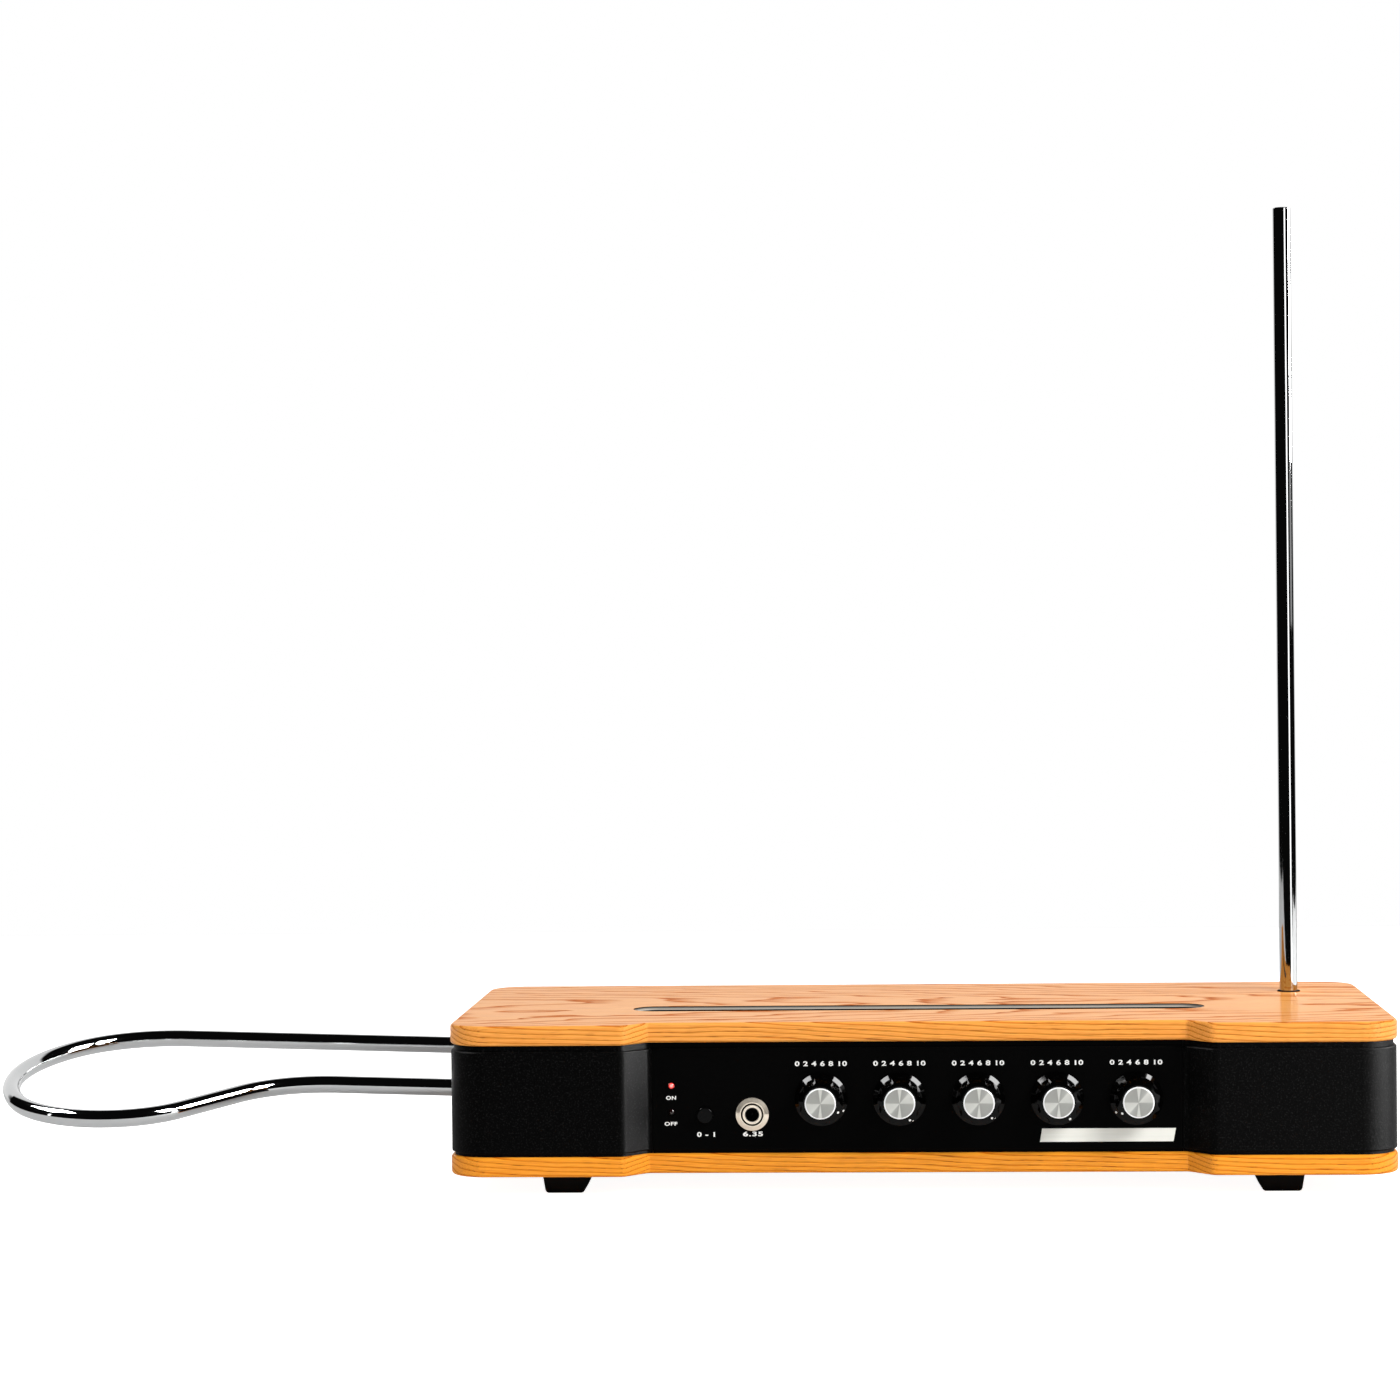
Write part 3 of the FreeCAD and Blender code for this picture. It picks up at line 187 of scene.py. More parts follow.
class Nodes:
    """A node tree, with short ways to add and join nodes."""

    def __init__(self, tree):
        self.tree = tree

    def add(self, kind, settings=None, **inputs):
        made = self.tree.nodes.new(kind)
        for key, value in (settings or {}).items():
            setattr(made, key, value)
        for key, value in inputs.items():
            self.join(value, made.inputs[key.replace("_", " ")])
        return made

    def join(self, value, socket):
        """Links an output to a socket, or sets the socket to a plain value."""
        if isinstance(value, bpy.types.NodeSocket):
            self.tree.links.new(value, socket)
        else:
            socket.default_value = value

    def math(self, operation, *values):
        made = self.add("ShaderNodeMath", {"operation": operation})
        for value, socket in zip(values, made.inputs):
            self.join(value, socket)
        return made.outputs[0]

    def plus(self, first, second):
        return self.math("ADD", first, second)

    def minus(self, first, second):
        return self.math("SUBTRACT", first, second)

    def times(self, first, second):
        return self.math("MULTIPLY", first, second)

    def larger(self, first, second):
        return self.math("MAXIMUM", first, second)

    def distance(self, first, second):
        """Length of the flat vector with these two parts."""
        return self.math("SQRT", self.plus(self.times(first, first), self.times(second, second)))

    def axes(self, vector):
        return self.add("ShaderNodeSeparateXYZ", Vector=vector).outputs

    def soft_step(self, value, low, high):
        """Rises smoothly from 0 at low to 1 at high, or falls where low is the greater."""
        made = self.add("ShaderNodeMapRange", {"interpolation_type": "SMOOTHSTEP"}, Value=value)
        made.inputs["From Min"].default_value = low
        made.inputs["From Max"].default_value = high
        return made.outputs[0]


class Shader(Nodes):
    """One material's node tree."""

    def __init__(self, name):
        self.material = bpy.data.materials.new(name)
        self.material.use_nodes = True
        super().__init__(self.material.node_tree)
        self.bsdf = self.tree.nodes["Principled BSDF"]
        self.place = self.add("ShaderNodeTexCoord").outputs["Object"]

    def set(self, **inputs):
        for key, value in inputs.items():
            self.join(value, self.bsdf.inputs[key.replace("_", " ")])

    def scaled(self, scale, shift=(0.0, 0.0, 0.0), source=None):
        made = self.add("ShaderNodeMapping", Scale=scale, Location=shift, Vector=source or self.place)
        return made.outputs[0]

    def noise(self, scale, detail=3.0, roughness=0.5, source=None):
        """Noise from 0 to 1 whose cells are about 1 / scale metres."""
        made = self.add("ShaderNodeTexNoise", Scale=scale, Detail=detail, Roughness=roughness)
        self.join(source or self.place, made.inputs["Vector"])
        return made.outputs["Fac"]

    def stretched_noise(self, scale, detail=2.0, roughness=0.5, source=None):
        """Noise whose cells are about 1 / scale metres along each of the three axes."""
        return self.noise(1.0, detail, roughness, self.scaled(scale, source=source))

    def ramp(self, value, stops, smooth=False):
        """Colour ramp over (position, colour) stops; a plain number makes a grey."""
        made = self.add("ShaderNodeValToRGB")
        made.color_ramp.interpolation = "EASE" if smooth else "LINEAR"
        elements = made.color_ramp.elements
        while len(elements) < len(stops):
            elements.new(0.5)
        for element, (position, colour) in zip(elements, stops):
            element.position = position
            element.color = colour if isinstance(colour, tuple) else (colour, colour, colour, 1.0)
        self.join(value, made.inputs["Fac"])
        return made.outputs["Color"]

    def mix(self, factor, first, second):
        made = self.add("ShaderNodeMix", {"data_type": "RGBA"})
        self.join(factor, made.inputs[0])
        self.join(first, made.inputs[6])
        self.join(second, made.inputs[7])
        return made.outputs[2]

    def blend(self, factor, first_code, second_code):
        """Mix of two colours given as hex codes."""
        return self.mix(factor, linear(first_code), linear(second_code))

    def span(self, value, low, high):
        """Maps 0..1 onto low..high."""
        made = self.add("ShaderNodeMapRange", Value=value)
        made.inputs["To Min"].default_value = low
        made.inputs["To Max"].default_value = high
        return made.outputs[0]

    def bump(self, height, depth, strength, after=None):
        """Adds relief of that depth in metres, on top of an earlier bump if one is given."""
        made = self.add("ShaderNodeBump", Height=height, Distance=depth, Strength=strength)
        if after is not None:
            self.join(after, made.inputs["Normal"])
        self.set(Normal=made.outputs[0])
        return made.outputs[0]


def middle_of(node):
    """Middle of a node's box at rest."""
    low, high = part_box(node)
    return (low + high) / 2


# ---------------------------------------------------------------- materials

def slot_shade_round(s, node, plate, reach):
    """Mask for painted shade: the plate's wood within reach of the node that fills its opening, below the
    top face.

    It is 1 in a flat-sided block a little larger than that node, and 0 elsewhere.
    """
    low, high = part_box(node)
    under, top = (corner.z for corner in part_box(plate))
    middle = (low + high) / 2
    half = (high - low) / 2
    x, y, z = s.axes(s.place)
    near_x = s.math("LESS_THAN", s.math("ABSOLUTE", s.minus(x, middle.x)), half.x + reach)
    near_y = s.math("LESS_THAN", s.math("ABSOLUTE", s.minus(y, middle.y)), half.y + reach)
    below = s.math("LESS_THAN", z, top - SLOT_SHADE_SKIN)
    above = s.math("GREATER_THAN", z, under - reach)
    return s.times(s.times(near_x, near_y), s.times(below, above))


def oiled_wood(name, board_place, tones):
    """Flat-sawn ring-porous board: bent growth rings, long fibres and open pores along X.

    tones are the colours of pale wood, deeper wood, ring lines, fibres and pores.
    """
    s = Shader(name)
    pale_tone, deep_tone, ring_tone, fibre_tone, pore_tone = (linear(code) for code in tones)
    board = s.scaled((1.0, 1.0, 1.0), board_place)
    along, across, up = s.axes(board)

    slow = s.stretched_noise(SLOW_SCALE, source=board)
    wave = s.stretched_noise(WAVE_SCALE, roughness=0.55, source=board)
    from_pith = s.plus(s.plus(up, PITH_DEPTH), s.times(along, PITH_SLOPE))
    bent = s.plus(s.distance(across, from_pith), s.times(slow, RING_BEND))
    bent = s.plus(bent, s.times(wave, RING_WAVE))
    rings = s.ramp(s.math("FRACT", s.times(bent, RINGS_PER_METRE)), RING_STOPS, smooth=True)

    fibre = s.stretched_noise(FIBRE_SCALE, detail=3.0, roughness=0.6, source=board)
    pores = s.ramp(s.stretched_noise(PORE_SCALE, detail=1.0, source=board), PORE_STOPS)
    pores = s.times(s.plus(s.times(rings, 1.0 - PORES_OUTSIDE_RINGS), PORES_OUTSIDE_RINGS), pores)
    blotch = s.stretched_noise(BLOTCH_SCALE, source=board)

    colour = s.mix(blotch, pale_tone, deep_tone)
    colour = s.mix(s.times(rings, RING_DEPTH), colour, ring_tone)
    colour = s.mix(s.ramp(fibre, FIBRE_STOPS), colour, fibre_tone)
    colour = s.mix(s.times(pores, PORE_DEPTH), colour, pore_tone)
    # painted shade on the wood round the slot's lining
    colour = s.mix(slot_shade_round(s, "slot_liner", "top_plate", SLOT_SHADE_REACH), colour, linear(SLOT_SHADE_TONE))
    open_grain = s.larger(rings, pores)
    s.set(Base_Color=colour, Specular_IOR_Level=0.05)
    rough = s.plus(s.span(fibre, low=0.38, high=0.5), s.times(open_grain, OPEN_GRAIN_ROUGHER))
    s.set(Roughness=rough)
    s.set(Coat_Weight=s.span(open_grain, low=0.34, high=0.06), Coat_Roughness=0.15, Coat_IOR=1.5)
    relief = s.bump(s.minus(1.0, pores), depth=GRAIN_RELIEF, strength=0.5)
    s.bump(fibre, depth=GRAIN_RELIEF, strength=0.5, after=relief)
    return s.material


def textured_black():
    """Powder coat: fine grain with painted glints, paler specks on its highest clumps, a little scuffed."""
    s = Shader("textured_black")
    grain = s.noise(scale=2600.0, detail=2.0, roughness=0.6)
    clumps = s.noise(scale=1150.0, detail=2.0, roughness=0.6)
    wear = s.noise(scale=18.0, detail=3.0, roughness=0.6)
    painted_glints = s.ramp(clumps, PAINTED_GLINT_STOPS)
    # painted glints: the highest clumps are paler
    s.set(Base_Color=s.blend(painted_glints, "000000", "171717"), Specular_IOR_Level=0.04)
    s.set(Roughness=s.span(wear, low=0.44, high=0.5))
    relief = s.bump(grain, depth=0.035 * MM, strength=0.8)
    s.bump(clumps, depth=0.11 * MM, strength=0.8, after=relief)
    return s.material


def smooth_black():
    """Matt printed panel."""
    s = Shader("smooth_black")
    grain = s.noise(scale=1800.0, detail=2.0)
    wear = s.noise(scale=14.0, detail=3.0, roughness=0.6)
    s.set(Base_Color=s.blend(wear, "010101", "030303"), Specular_IOR_Level=0.03)
    s.set(Roughness=s.span(grain, low=0.42, high=0.52))
    s.bump(grain, depth=0.008 * MM, strength=0.5)
    return s.material


def polished_metal(name, colours, smooth, worn, brush=None):
    """Metal with a faint uneven polish, and fine lines where brush gives their scale."""
    s = Shader(name)
    cloud = s.noise(scale=45.0, detail=4.0, roughness=0.6)
    s.set(Metallic=1.0, Base_Color=s.blend(cloud, *colours))
    s.set(Roughness=s.span(cloud, low=smooth, high=worn))
    if brush is not None:
        lines = s.stretched_noise(brush, roughness=0.6)
        s.bump(lines, depth=0.004 * MM, strength=0.6)
    return s.material


def spun_aluminium():
    """Lathe-turned face: fine rings, a glint that fans out from the centre from its sheen and from painted
    reflection sectors, and a painted white highlight on its rim.
    """
    s = Shader("spun_aluminium")
    low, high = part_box("knob_1_cap")
    middle = (low + high) / 2
    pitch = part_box("knob_2_cap")[0].x - low.x
    x, _, z = s.axes(s.place)
    across = s.math("WRAP", s.minus(x, middle.x), pitch / 2, -pitch / 2)
    up = s.minus(z, middle.z)
    radius = s.distance(across, up)
    # painted highlight: a white ring at the cap's rim
    rim = s.ramp(s.math("DIVIDE", radius, high.x - middle.x), CAP_RIM_HIGHLIGHT_STOPS)
    rings = s.add("ShaderNodeTexNoise", {"noise_dimensions": "1D"}, Scale=SPIN_RINGS, Detail=2.0, W=radius)
    cloud = s.noise(scale=400.0, detail=3.0, roughness=0.6)
    turn = s.math("DIVIDE", s.math("ARCTAN2", across, up), 2 * math.pi)
    # painted reflection: light and dark sectors round the cap's centre
    painted_fan = s.ramp(s.math("FRACT", s.times(turn, 2.0)), CAP_PAINTED_FAN)
    face = s.mix(s.times(painted_fan, CAP_PAINTED_FAN_DEPTH), s.blend(cloud, "d4d4ce", "cacbc5"), linear("7e7f7b"))
    tangent = s.add("ShaderNodeTangent", {"direction_type": "RADIAL", "axis": "Y"})
    s.set(Base_Color=s.mix(rim, face, linear("ffffff")), Metallic=0.1, Specular_IOR_Level=0.25)
    s.set(Anisotropic=SPIN_SHEEN, Anisotropic_Rotation=0.25, Tangent=tangent.outputs[0])
    s.set(Roughness=s.span(cloud, low=0.42, high=0.48))
    s.bump(rings.outputs["Fac"], depth=0.004 * MM, strength=0.5)
    return s.material


def jack_metal(node, mouth, metallic, rough):
    """Bright nickel round a black mouth; mouth is its radius in metres. In the nut the black is painted
    shade in its countersink.
    """
    s = Shader(node)
    middle = middle_of(node)
    x, _, z = s.axes(s.place)
    share = s.math("DIVIDE", s.distance(s.minus(x, middle.x), s.minus(z, middle.z)), mouth)
    # black inside the mouth: in the nut, painted shade in its countersink
    metal_share = s.ramp(share, ((MOUTH_EDGE, 0.0), (1.0, 1.0)))
    cloud = s.noise(scale=600.0, detail=3.0, roughness=0.6)
    s.set(Base_Color=s.mix(metal_share, linear("060606"), s.blend(cloud, "f8eedd", "ecdfcb")))
    s.set(Metallic=s.ramp(share, ((MOUTH_EDGE, 0.0), (1.0, metallic))))
    s.set(Roughness=s.span(cloud, low=rough, high=rough + PLATING_UNEVEN))
    s.bump(cloud, depth=0.003 * MM, strength=0.4)
    return s.material


def moulded(name, dark, light, rough, grain_scale=900.0, relief=0.01 * MM, coat=0.0, gloss=0.5):
    """Moulded plastic or rubber with a faint flow and a fine skin."""
    s = Shader(name)
    flow = s.noise(scale=60.0)
    grain = s.noise(grain_scale, detail=2.0)
    s.set(Base_Color=s.blend(flow, dark, light), Coat_Weight=coat, Coat_Roughness=0.05)
    s.set(Roughness=s.span(grain, low=rough - SKIN_UNEVEN, high=rough + SKIN_UNEVEN))
    s.set(Specular_IOR_Level=gloss)
    s.bump(grain, depth=relief, strength=0.6)
    return s.material


def strip_metal():
    """Pearly silver foil with fine lines along its length."""
    s = Shader("strip_metal")
    lines = s.stretched_noise(FOIL_LINES, roughness=0.6)
    s.set(Base_Color=s.blend(lines, "fffff8", "f2f2e8"), Metallic=0.05)
    s.set(Roughness=s.span(lines, low=0.3, high=0.42))
    s.bump(lines, depth=0.004 * MM, strength=0.5)
    return s.material


def slot_liner():
    """Pale satin rim with painted shading, darker at its top edge, and painted shade that turns it black a
    little way down the slot.
    """
    s = Shader("liner_plastic")
    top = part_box("slot_liner")[1].z
    depth = s.times(s.minus(top, s.axes(s.place)[2]), 1 / LINER_FADE)
    grain = s.noise(scale=1500.0, detail=2.0)
    # painted shading down the rim: dark at the top edge, pale lower down
    rim = s.mix(s.ramp(depth, LINER_RIM_SHADING_STOPS), linear("4a463f"), s.blend(grain, "d6cdbf", "e2dacd"))
    # painted shade: black further down the slot
    s.set(Base_Color=s.mix(s.ramp(depth, LINER_SHADE_STOPS), rim, linear("0b0b0b")), Specular_IOR_Level=0.2)
    s.set(Roughness=s.span(grain, low=0.5, high=0.6))
    s.bump(grain, depth=0.01 * MM, strength=0.5)
    return s.material


def lit_lens():
    """Red lamp: hot in the middle, deep red at the rim."""
    s = Shader("red_lens")
    centre = s.add("ShaderNodeLayerWeight", Blend=0.35).outputs["Facing"]
    glow = s.ramp(centre, [(position, linear(code)) for position, code in LENS_GLOW])
    cloud = s.noise(scale=900.0, detail=2.0)
    s.set(Base_Color=s.blend(cloud, "b01014", "c8181c"), Emission_Color=glow)
    s.set(Emission_Strength=0.9, Roughness=0.12, Coat_Weight=0.6, Coat_Roughness=0.03)
    return s.material


def circuit_board():
    """Green lacquer over a faint weave and a net of tracks."""
    s = Shader("circuit_board")
    weave = s.noise(scale=1200.0, detail=2.0)
    tracks = s.add(
        "ShaderNodeTexBrick", Vector=s.place, Scale=140.0, Mortar_Size=0.02,
        Color1=linear("17603a"), Color2=linear("125331"), Mortar=linear("2f8a52"),
    )
    s.set(Base_Color=s.mix(weave, tracks.outputs["Color"], linear("0e4529")), Roughness=0.35)
    s.bump(weave, depth=0.01 * MM, strength=0.4)
    return s.material


def copper_winding():
    """Lacquered wire, turn beside turn."""
    s = Shader("copper_winding")
    wave = s.add("ShaderNodeTexWave", {"bands_direction": "Z"}, Vector=s.place, Scale=900.0, Distortion=0.3)
    turns = wave.outputs["Fac"]
    s.set(Metallic=1.0, Base_Color=s.blend(turns, "7a3b17", "cf8347"), Roughness=0.3)
    s.bump(turns, depth=0.08 * MM, strength=0.8)
    return s.material


def printed(name, colour):
    """Screen-printed ink, very slightly uneven."""
    s = Shader(name)
    cover = s.noise(scale=1500.0, detail=2.0, roughness=0.6)
    s.set(Base_Color=s.blend(cover, colour, "f0f0ec"), Roughness=0.5)
    s.bump(cover, depth=0.004 * MM, strength=0.5)
    return s.material


MATERIALS = {
    "wood_top": oiled_wood("wood_top", TOP_BOARD, TOP_TONES),
    "wood_bottom": oiled_wood("wood_bottom", BOTTOM_BOARD, BOTTOM_TONES),
    "textured_black": textured_black(),
    "smooth_black": smooth_black(),
    "chrome": polished_metal("chrome", ("c8c9c9", "c0c1c2"), smooth=0.02, worn=0.05),
    "nickel": polished_metal("nickel", ("f0e2cc", "dfcfb8"), smooth=0.08, worn=0.14),
    "phones_jack": jack_metal("phones_jack", JACK_BLACK_RADIUS, metallic=0.25, rough=0.26),
    "output_jack": jack_metal("output_jack", JACK_BLACK_RADIUS, metallic=0.25, rough=0.26),
    "phones_jack_nut": jack_metal("phones_jack_nut", NUT_PAINTED_SHADE_RADIUS, metallic=0.65, rough=0.1),
    "aluminium": polished_metal(
        "aluminium", ("c9cac8", "b9bab8"), smooth=0.3, worn=0.42, brush=LINES_UPRIGHT,
    ),
    "brass": polished_metal("brass", ("d9b25a", "b98d3c"), smooth=0.2, worn=0.35, brush=LINES_UPRIGHT),
    "dark_screw": polished_metal("dark_screw", ("2a2a2b", "3a3a3b"), smooth=0.3, worn=0.42),
    "zinc_steel": polished_metal("zinc_steel", ("b9bcbf", "9fa3a6"), smooth=0.25, worn=0.4),
    "flange_metal": polished_metal(
        "flange_metal", ("6f7274", "5b5e60"), smooth=0.3, worn=0.45, brush=LINES_ALONG,
    ),
    "strip_metal": strip_metal(),
    "spun_aluminium": spun_aluminium(),
    "rubber": moulded(
        "rubber", "020202", "060606", rough=0.62, grain_scale=1400.0, relief=0.03 * MM, gloss=0.1,
    ),
    "liner_plastic": slot_liner(),
    "black_nylon": moulded("black_nylon", "0a0807", "110e0c", rough=0.8, gloss=0.05),
    "button_plastic": moulded("button_plastic", "050505", "090909", rough=0.1, gloss=0.07),
    "dark_lens": moulded("dark_lens", "120606", "1c0909", rough=0.12, coat=0.6),
    "knob_black": moulded(
        "knob_black", "010101", "030303", rough=0.07, grain_scale=1600.0, relief=0.002 * MM, gloss=0.12,
    ),
    "chip_black": moulded("chip_black", "151516", "1e1e1f", rough=0.5),
    "capacitor_sleeve": moulded("capacitor_sleeve", "1b2340", "232c4c", rough=0.3),
    "red_lens": lit_lens(),
    "circuit_board": circuit_board(),
    "copper_winding": copper_winding(),
    "white_ink": printed("white_ink", "fdfdfa"),
}

# Nodes with a finish of their own; the rest have the one that the record names for them.
OWN_FINISH = {
    "top_plate": "wood_top",
    "bottom_plate": "wood_bottom",
    "phones_jack": "phones_jack",
    "output_jack": "output_jack",
    "phones_jack_nut": "phones_jack_nut",
}


def dress(piece, material):
    piece.data.materials.clear()
    piece.data.materials.append(material)


def dress_nodes():
    for row in frame["record"]["subparts"]:
        finish = OWN_FINISH.get(row["node"], row["material_slot"])
        dress(nodes[row["node"]], MATERIALS[finish])


# ---------------------------------------------------------------- pieces made here

def add_object(name, data):
    made = bpy.data.objects.new(name, data)
    bpy.context.scene.collection.objects.link(made)
    return made


def new_piece(name, mesh, material, body):
    piece = add_object(name, mesh)
    dress(piece, MATERIALS[material])
    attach(piece, body)
    return piece


def finished_mesh(name, model):
    """Turns a bmesh into a mesh and frees it."""
    mesh = bpy.data.meshes.new(name)
    model.to_mesh(mesh)
    model.free()
    return mesh


def panel_face():
    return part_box("front_panel")[0].y


def lettering(name, text, centre, size):
    """White figures printed on the front panel, fitted to a width and a height in millimetres."""
    curve = bpy.data.curves.new(name, "FONT")
    curve.body = text
    curve.extrude = PRINT_EXTRUDE
    curve.offset = PRINT_WEIGHT
    curve.space_character = PRINT_SPACING
    holder = add_object(name + "_text", curve)
    depsgraph = bpy.context.evaluated_depsgraph_get()
    mesh = bpy.data.meshes.new_from_object(holder.evaluated_get(depsgraph))
    bpy.data.objects.remove(holder)
    spans = [(min(axis), max(axis)) for axis in zip(*(vertex.co for vertex in mesh.vertices))]
    (left, right), (foot, head), (back, front) = spans
    wide = size[0] * MM / (right - left)
    tall = size[1] * MM / (head - foot)
    deep = PRINT_RISE / (front - back)
    middle = Vector(((right + left) / 2, (head + foot) / 2, back))
    stand_up = Matrix(((wide, 0, 0, 0), (0, 0, -deep, 0), (0, tall, 0, 0), (0, 0, 0, 1)))
    place = Matrix.Translation((centre[0] * MM, panel_face(), centre[1] * MM))
    mesh.transform(place @ stand_up @ Matrix.Translation(-middle))
    return new_piece(name, mesh, "white_ink", "case")


def knob_centre(number):
    return middle_of("knob_%d_cap" % number)


def knob_scales():
    for number in range(1, len(POINTER_DEG) + 1):
        middle = knob_centre(number)
        place = (middle.x / MM, middle.z / MM + KNOB_SCALE_ABOVE)
        lettering("scale_%d" % number, KNOB_SCALE, place, KNOB_SCALE_SIZE)


def name_strip():
    """Slanted plate with a raised border round a bare field."""
    face = panel_face()
    points = [Vector((x * MM, face, z * MM)) for x, z in STRIP_CORNERS]
    middle = sum(points, Vector()) / len(points)

    def ring(inset, rise):
        """The strip's outline, pulled in and raised by these millimetres."""
        moved = []
        for point in points:
            away = point - middle
            pulled_x = away.x - math.copysign(inset * MM, away.x)
            pulled_z = away.z - math.copysign(inset * MM, away.z)
            moved.append(middle + Vector((pulled_x, -rise * MM, pulled_z)))
        return moved

    levels = (
        ring(0, 0),
        ring(0, STRIP_THICKNESS * STRIP_WALL_SHARE),
        ring(STRIP_BEVEL, STRIP_THICKNESS),
        ring(STRIP_BORDER, STRIP_THICKNESS),
        ring(STRIP_BORDER + STRIP_INNER_BEVEL, STRIP_THICKNESS - STRIP_SUNK),
    )
    model = bmesh.new()
    loops = [[model.verts.new(point) for point in level] for level in levels]
    for lower, upper in zip(loops, loops[1:]):
        for k in range(len(points)):
            after = (k + 1) % len(points)
            model.faces.new((lower[k], lower[after], upper[after], upper[k]))
    model.faces.new(loops[-1])
    model.faces.new(list(reversed(loops[0])))
    bmesh.ops.recalc_face_normals(model, faces=model.faces)
    return new_piece("name_strip", finished_mesh("name_strip", model), "strip_metal", "case")


def paint_dot(name, number, distance, height, radius, slope, body):
    """Small domed dot of paint that lies on a knob's sloping surface at its pointer."""
    model = bmesh.new()
    bmesh.ops.create_uvsphere(model, u_segments=DOT_SEGMENTS, v_segments=DOT_RINGS, radius=radius * MM)
    bmesh.ops.scale(model, vec=(1, 1, DOT_FLATNESS), verts=model.verts)
    mesh = finished_mesh(name, model)
    for polygon in mesh.polygons:
        polygon.use_smooth = True
    run, drop = slope
    tilt = Matrix.Rotation(math.atan2(drop, run), 4, "Y")
    out = Matrix.Translation((distance * MM, 0, height * MM)) @ tilt
    spin = Matrix.Rotation(math.radians(90 - POINTER_DEG[number - 1]), 4, "Z")
    face_front = Matrix.Rotation(math.radians(90), 4, "X")
    centre = knob_centre(number)
    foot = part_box("knob_%d_body" % number)[1].y
    mesh.transform(Matrix.Translation((centre.x, foot, centre.z)) @ face_front @ spin @ out)
    return new_piece(name, mesh, "white_ink", body)


def pointer_dots():
    for number in range(1, len(POINTER_DEG) + 1):
        body = "knob_%d" % number
        paint_dot("knob_%d_shoulder_dot" % number, number, *SHOULDER_DOT, SHOULDER_SLOPE, body)
        paint_dot("knob_%d_skirt_dot" % number, number, *SKIRT_DOT, SKIRT_SLOPE, body)


# ---------------------------------------------------------------- studio

WHITE = (1.0, 1.0, 1.0, 1.0)
FLOOR_LOW = (-1.9, -0.85)         # corners of the table top, x and y
FLOOR_HIGH = (1.9, 1.5)
FLOOR_CELLS = 8
FLOOR_WHITE_SEEN = 0.95           # what the floor adds to its own white for the camera
FLOOR_WHITE_IN_METAL = 0.05       # and in reflections
AMBIENT = 0.45
BACKDROP_HALF_ANGLE = 46.0        # white wall behind the object, as polished parts see it
BACKDROP_TOP_ANGLE = 42.0
BACKDROP_SIDE_BLUR = (-0.04, 0.02)
BACKDROP_TOP_BLUR = (0.04, -0.03)
DARK_ROOM = 0.004
LAMP_CENTRE = (-0.02, 0.0, 0.08)
MATT_LAMP_BEHIND = 0.1            # keeps it from hiding the lamp that polished parts see
LAMPS = (
    # name, azimuth and elevation, distance, width, height, radiance on matt surfaces and in reflections
    ("key_right", 69.0, 41.0, 2.2, 0.66, 1.00, 5.0, 50.0),
    ("rim_right", 99.0, 26.0, 2.2, 0.90, 1.30, 2.0, 40.0),
    ("card_right", 61.0, 8.0, 0.5, 0.12, 0.80, 0.0, 2.2),
    ("key_left", -88.0, 49.0, 2.4, 1.20, 0.90, 2.0, 45.0),
    ("strip_left", -62.0, 9.0, 2.4, 0.12, 0.75, 0.0, 3.0),
    ("soft_front_right", 40.0, 36.0, 2.5, 1.2, 1.2, 9.6, 0.0),
    ("grey_right", 85.0, 9.0, 2.2, 1.00, 0.30, 0.0, 0.45),
    ("left_shell_light", 78.0, 0.0, 0.8, 0.50, 0.30, 0.0, 115.0),
    ("right_shell_light", 67.0, 0.0, 0.8, 0.50, 0.30, 0.0, 36.0),
)
# Which pieces a lamp's reflection reaches, or leaves out: no lamp burns out the oiled plates from any side.
FLAT_PIECES = ("top_plate", "bottom_plate", "slot_liner")
LAMP_LINKS = {
    "key_right": ("EXCLUDE", FLAT_PIECES),
    "rim_right": ("EXCLUDE", FLAT_PIECES),
    "key_left": ("EXCLUDE", FLAT_PIECES),
    "strip_left": ("INCLUDE", ("volume_loop_rod",)),
    "grey_right": ("INCLUDE", ("pitch_antenna_rod",)),
    "left_shell_light": ("INCLUDE", ("left_end_shell",)),
    "right_shell_light": ("INCLUDE", ("right_end_shell",)),
}


def studio_world():
    """White to the camera; polished parts see a dark room with a white wall behind the object."""
    world = bpy.data.worlds.new("studio")
    bpy.context.scene.world = world
    world.use_nodes = True
    w = Nodes(world.node_tree)
    rays = w.add("ShaderNodeLightPath").outputs
    _, backwards, upwards = w.axes(w.add("ShaderNodeTexCoord").outputs["Generated"])
    side = math.cos(math.radians(BACKDROP_HALF_ANGLE))
    top = math.sin(math.radians(BACKDROP_TOP_ANGLE))
    behind = w.soft_step(backwards, *(side + blur for blur in BACKDROP_SIDE_BLUR))
    low = w.soft_step(upwards, *(top + blur for blur in BACKDROP_TOP_BLUR))
    wall = w.times(behind, low)
    polished = w.larger(rays["Is Glossy Ray"], rays["Is Transmission Ray"])
    mirrored = w.times(polished, w.larger(wall, DARK_ROOM))
    diffuse = w.times(rays["Is Diffuse Ray"], AMBIENT)
    background = w.tree.nodes["Background"]
    w.join(w.plus(w.plus(mirrored, diffuse), rays["Is Camera Ray"]), background.inputs["Strength"])
    w.join(WHITE, background.inputs["Color"])


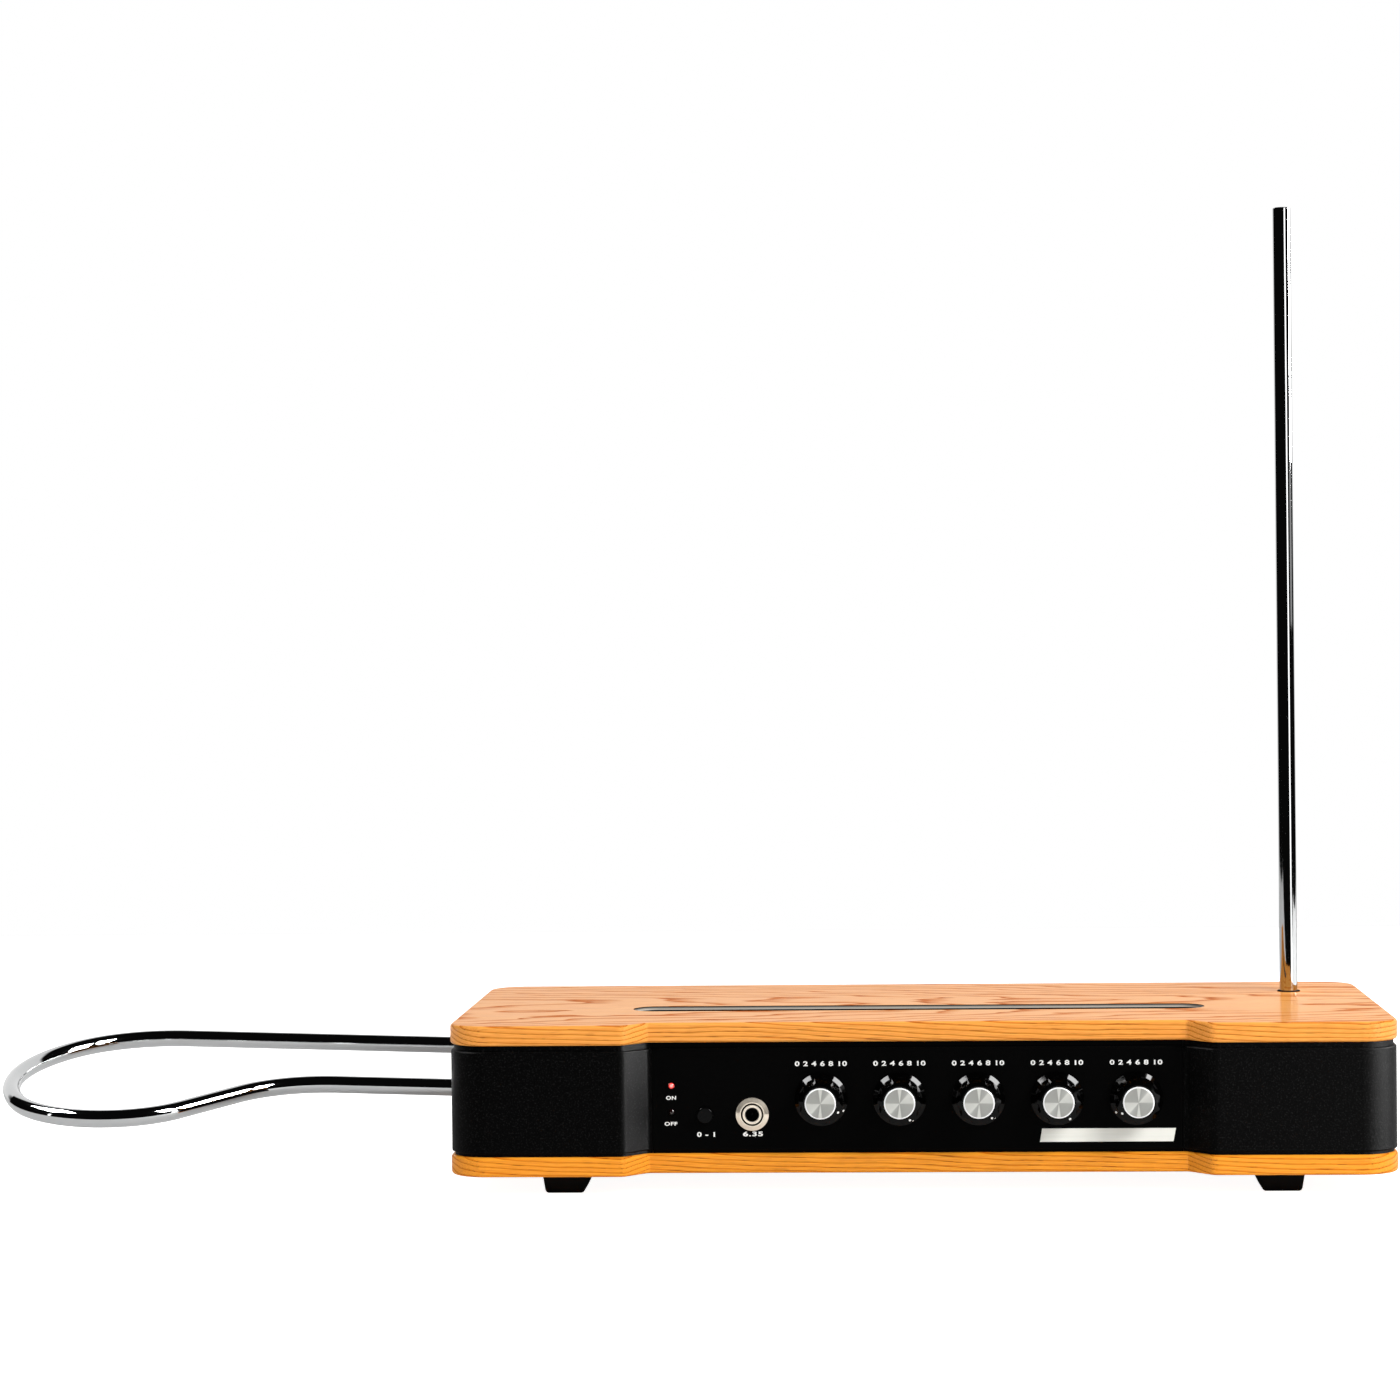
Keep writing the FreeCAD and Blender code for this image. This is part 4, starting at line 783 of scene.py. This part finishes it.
def floor():
    """Pale table top that the camera sees as white away from the object's shadow."""
    model = bmesh.new()
    half = 0.5
    bmesh.ops.create_grid(model, x_segments=FLOOR_CELLS, y_segments=FLOOR_CELLS, size=half)
    for vertex in model.verts:
        for axis in (0, 1):
            share = vertex.co[axis] + half
            vertex.co[axis] = FLOOR_LOW[axis] + share * (FLOOR_HIGH[axis] - FLOOR_LOW[axis])
        vertex.co.z = cad_low.z
    plane = add_object("floor", finished_mesh("floor", model))
    s = Shader("floor")
    cloud = s.noise(scale=3.0, detail=2.0)
    s.set(Base_Color=s.blend(cloud, "dcdcdc", "e0e0e0"), Roughness=0.9)
    rays = s.add("ShaderNodeLightPath").outputs
    polished = s.larger(rays["Is Glossy Ray"], rays["Is Transmission Ray"])
    seen = s.times(rays["Is Camera Ray"], FLOOR_WHITE_SEEN)
    seen = s.plus(seen, s.times(polished, FLOOR_WHITE_IN_METAL))
    s.set(Emission_Strength=seen, Emission_Color=WHITE)
    dress(plane, s.material)


def lamps():
    """Each lamp is two: one for matt surfaces, and one that only reflections show."""
    for name, azimuth, elevation, distance, width, height, on_matt, in_gloss in LAMPS:
        a = math.radians(azimuth)
        e = math.radians(elevation)
        away = Vector((math.sin(a) * math.cos(e), -math.cos(a) * math.cos(e), math.sin(e)))
        if on_matt:
            area_lamp(name + "_matt", away, distance + MATT_LAMP_BEHIND, width, height, on_matt, False)
        if in_gloss:
            lamp = area_lamp(name + "_gloss", away, distance, width, height, in_gloss, True)
            if name in LAMP_LINKS:
                link_reflection(lamp, *LAMP_LINKS[name])


def area_lamp(name, away, distance, width, height, radiance, mirrored):
    """Rectangular lamp in that direction from the object, facing it."""
    data = bpy.data.lights.new(name, "AREA")
    data.shape = "RECTANGLE"
    data.size = width
    data.size_y = height
    data.energy = radiance * math.pi * width * height
    lamp = add_object(name, data)
    lamp.location = Vector(LAMP_CENTRE) + away * distance
    lamp.rotation_euler = away.to_track_quat("Z", "Y").to_euler()
    lamp.visible_camera = False
    lamp.visible_glossy = mirrored
    lamp.visible_diffuse = not mirrored
    return lamp


def link_reflection(lamp, state, pieces):
    """Lets the lamp reach only these pieces (INCLUDE), or all but these (EXCLUDE)."""
    linked = bpy.data.collections.new(lamp.name + "_links")
    for piece in pieces:
        linked.objects.link(nodes[piece])
    for held in linked.collection_objects:
        held.light_linking.link_state = state
    lamp.light_linking.receiver_collection = linked


def camera():
    data = bpy.data.cameras.new("camera")
    data.lens = CAMERA_LENS
    data.sensor_width = CAMERA_SENSOR
    data.clip_start = CAMERA_NEAR
    data.clip_end = CAMERA_FAR
    made = add_object("camera", data)
    made.location = CAMERA_PLACE
    made.rotation_euler = Euler([math.radians(turn) for turn in CAMERA_TURN_DEG])
    bpy.context.scene.camera = made


camera()
studio_world()
floor()
lamps()
dress_nodes()
knob_scales()
for mark, text, place, size in PANEL_MARKS:
    lettering(mark, text, place, size)
name_strip()
pointer_dots()
bpy.context.scene.view_settings.view_transform = "Standard"
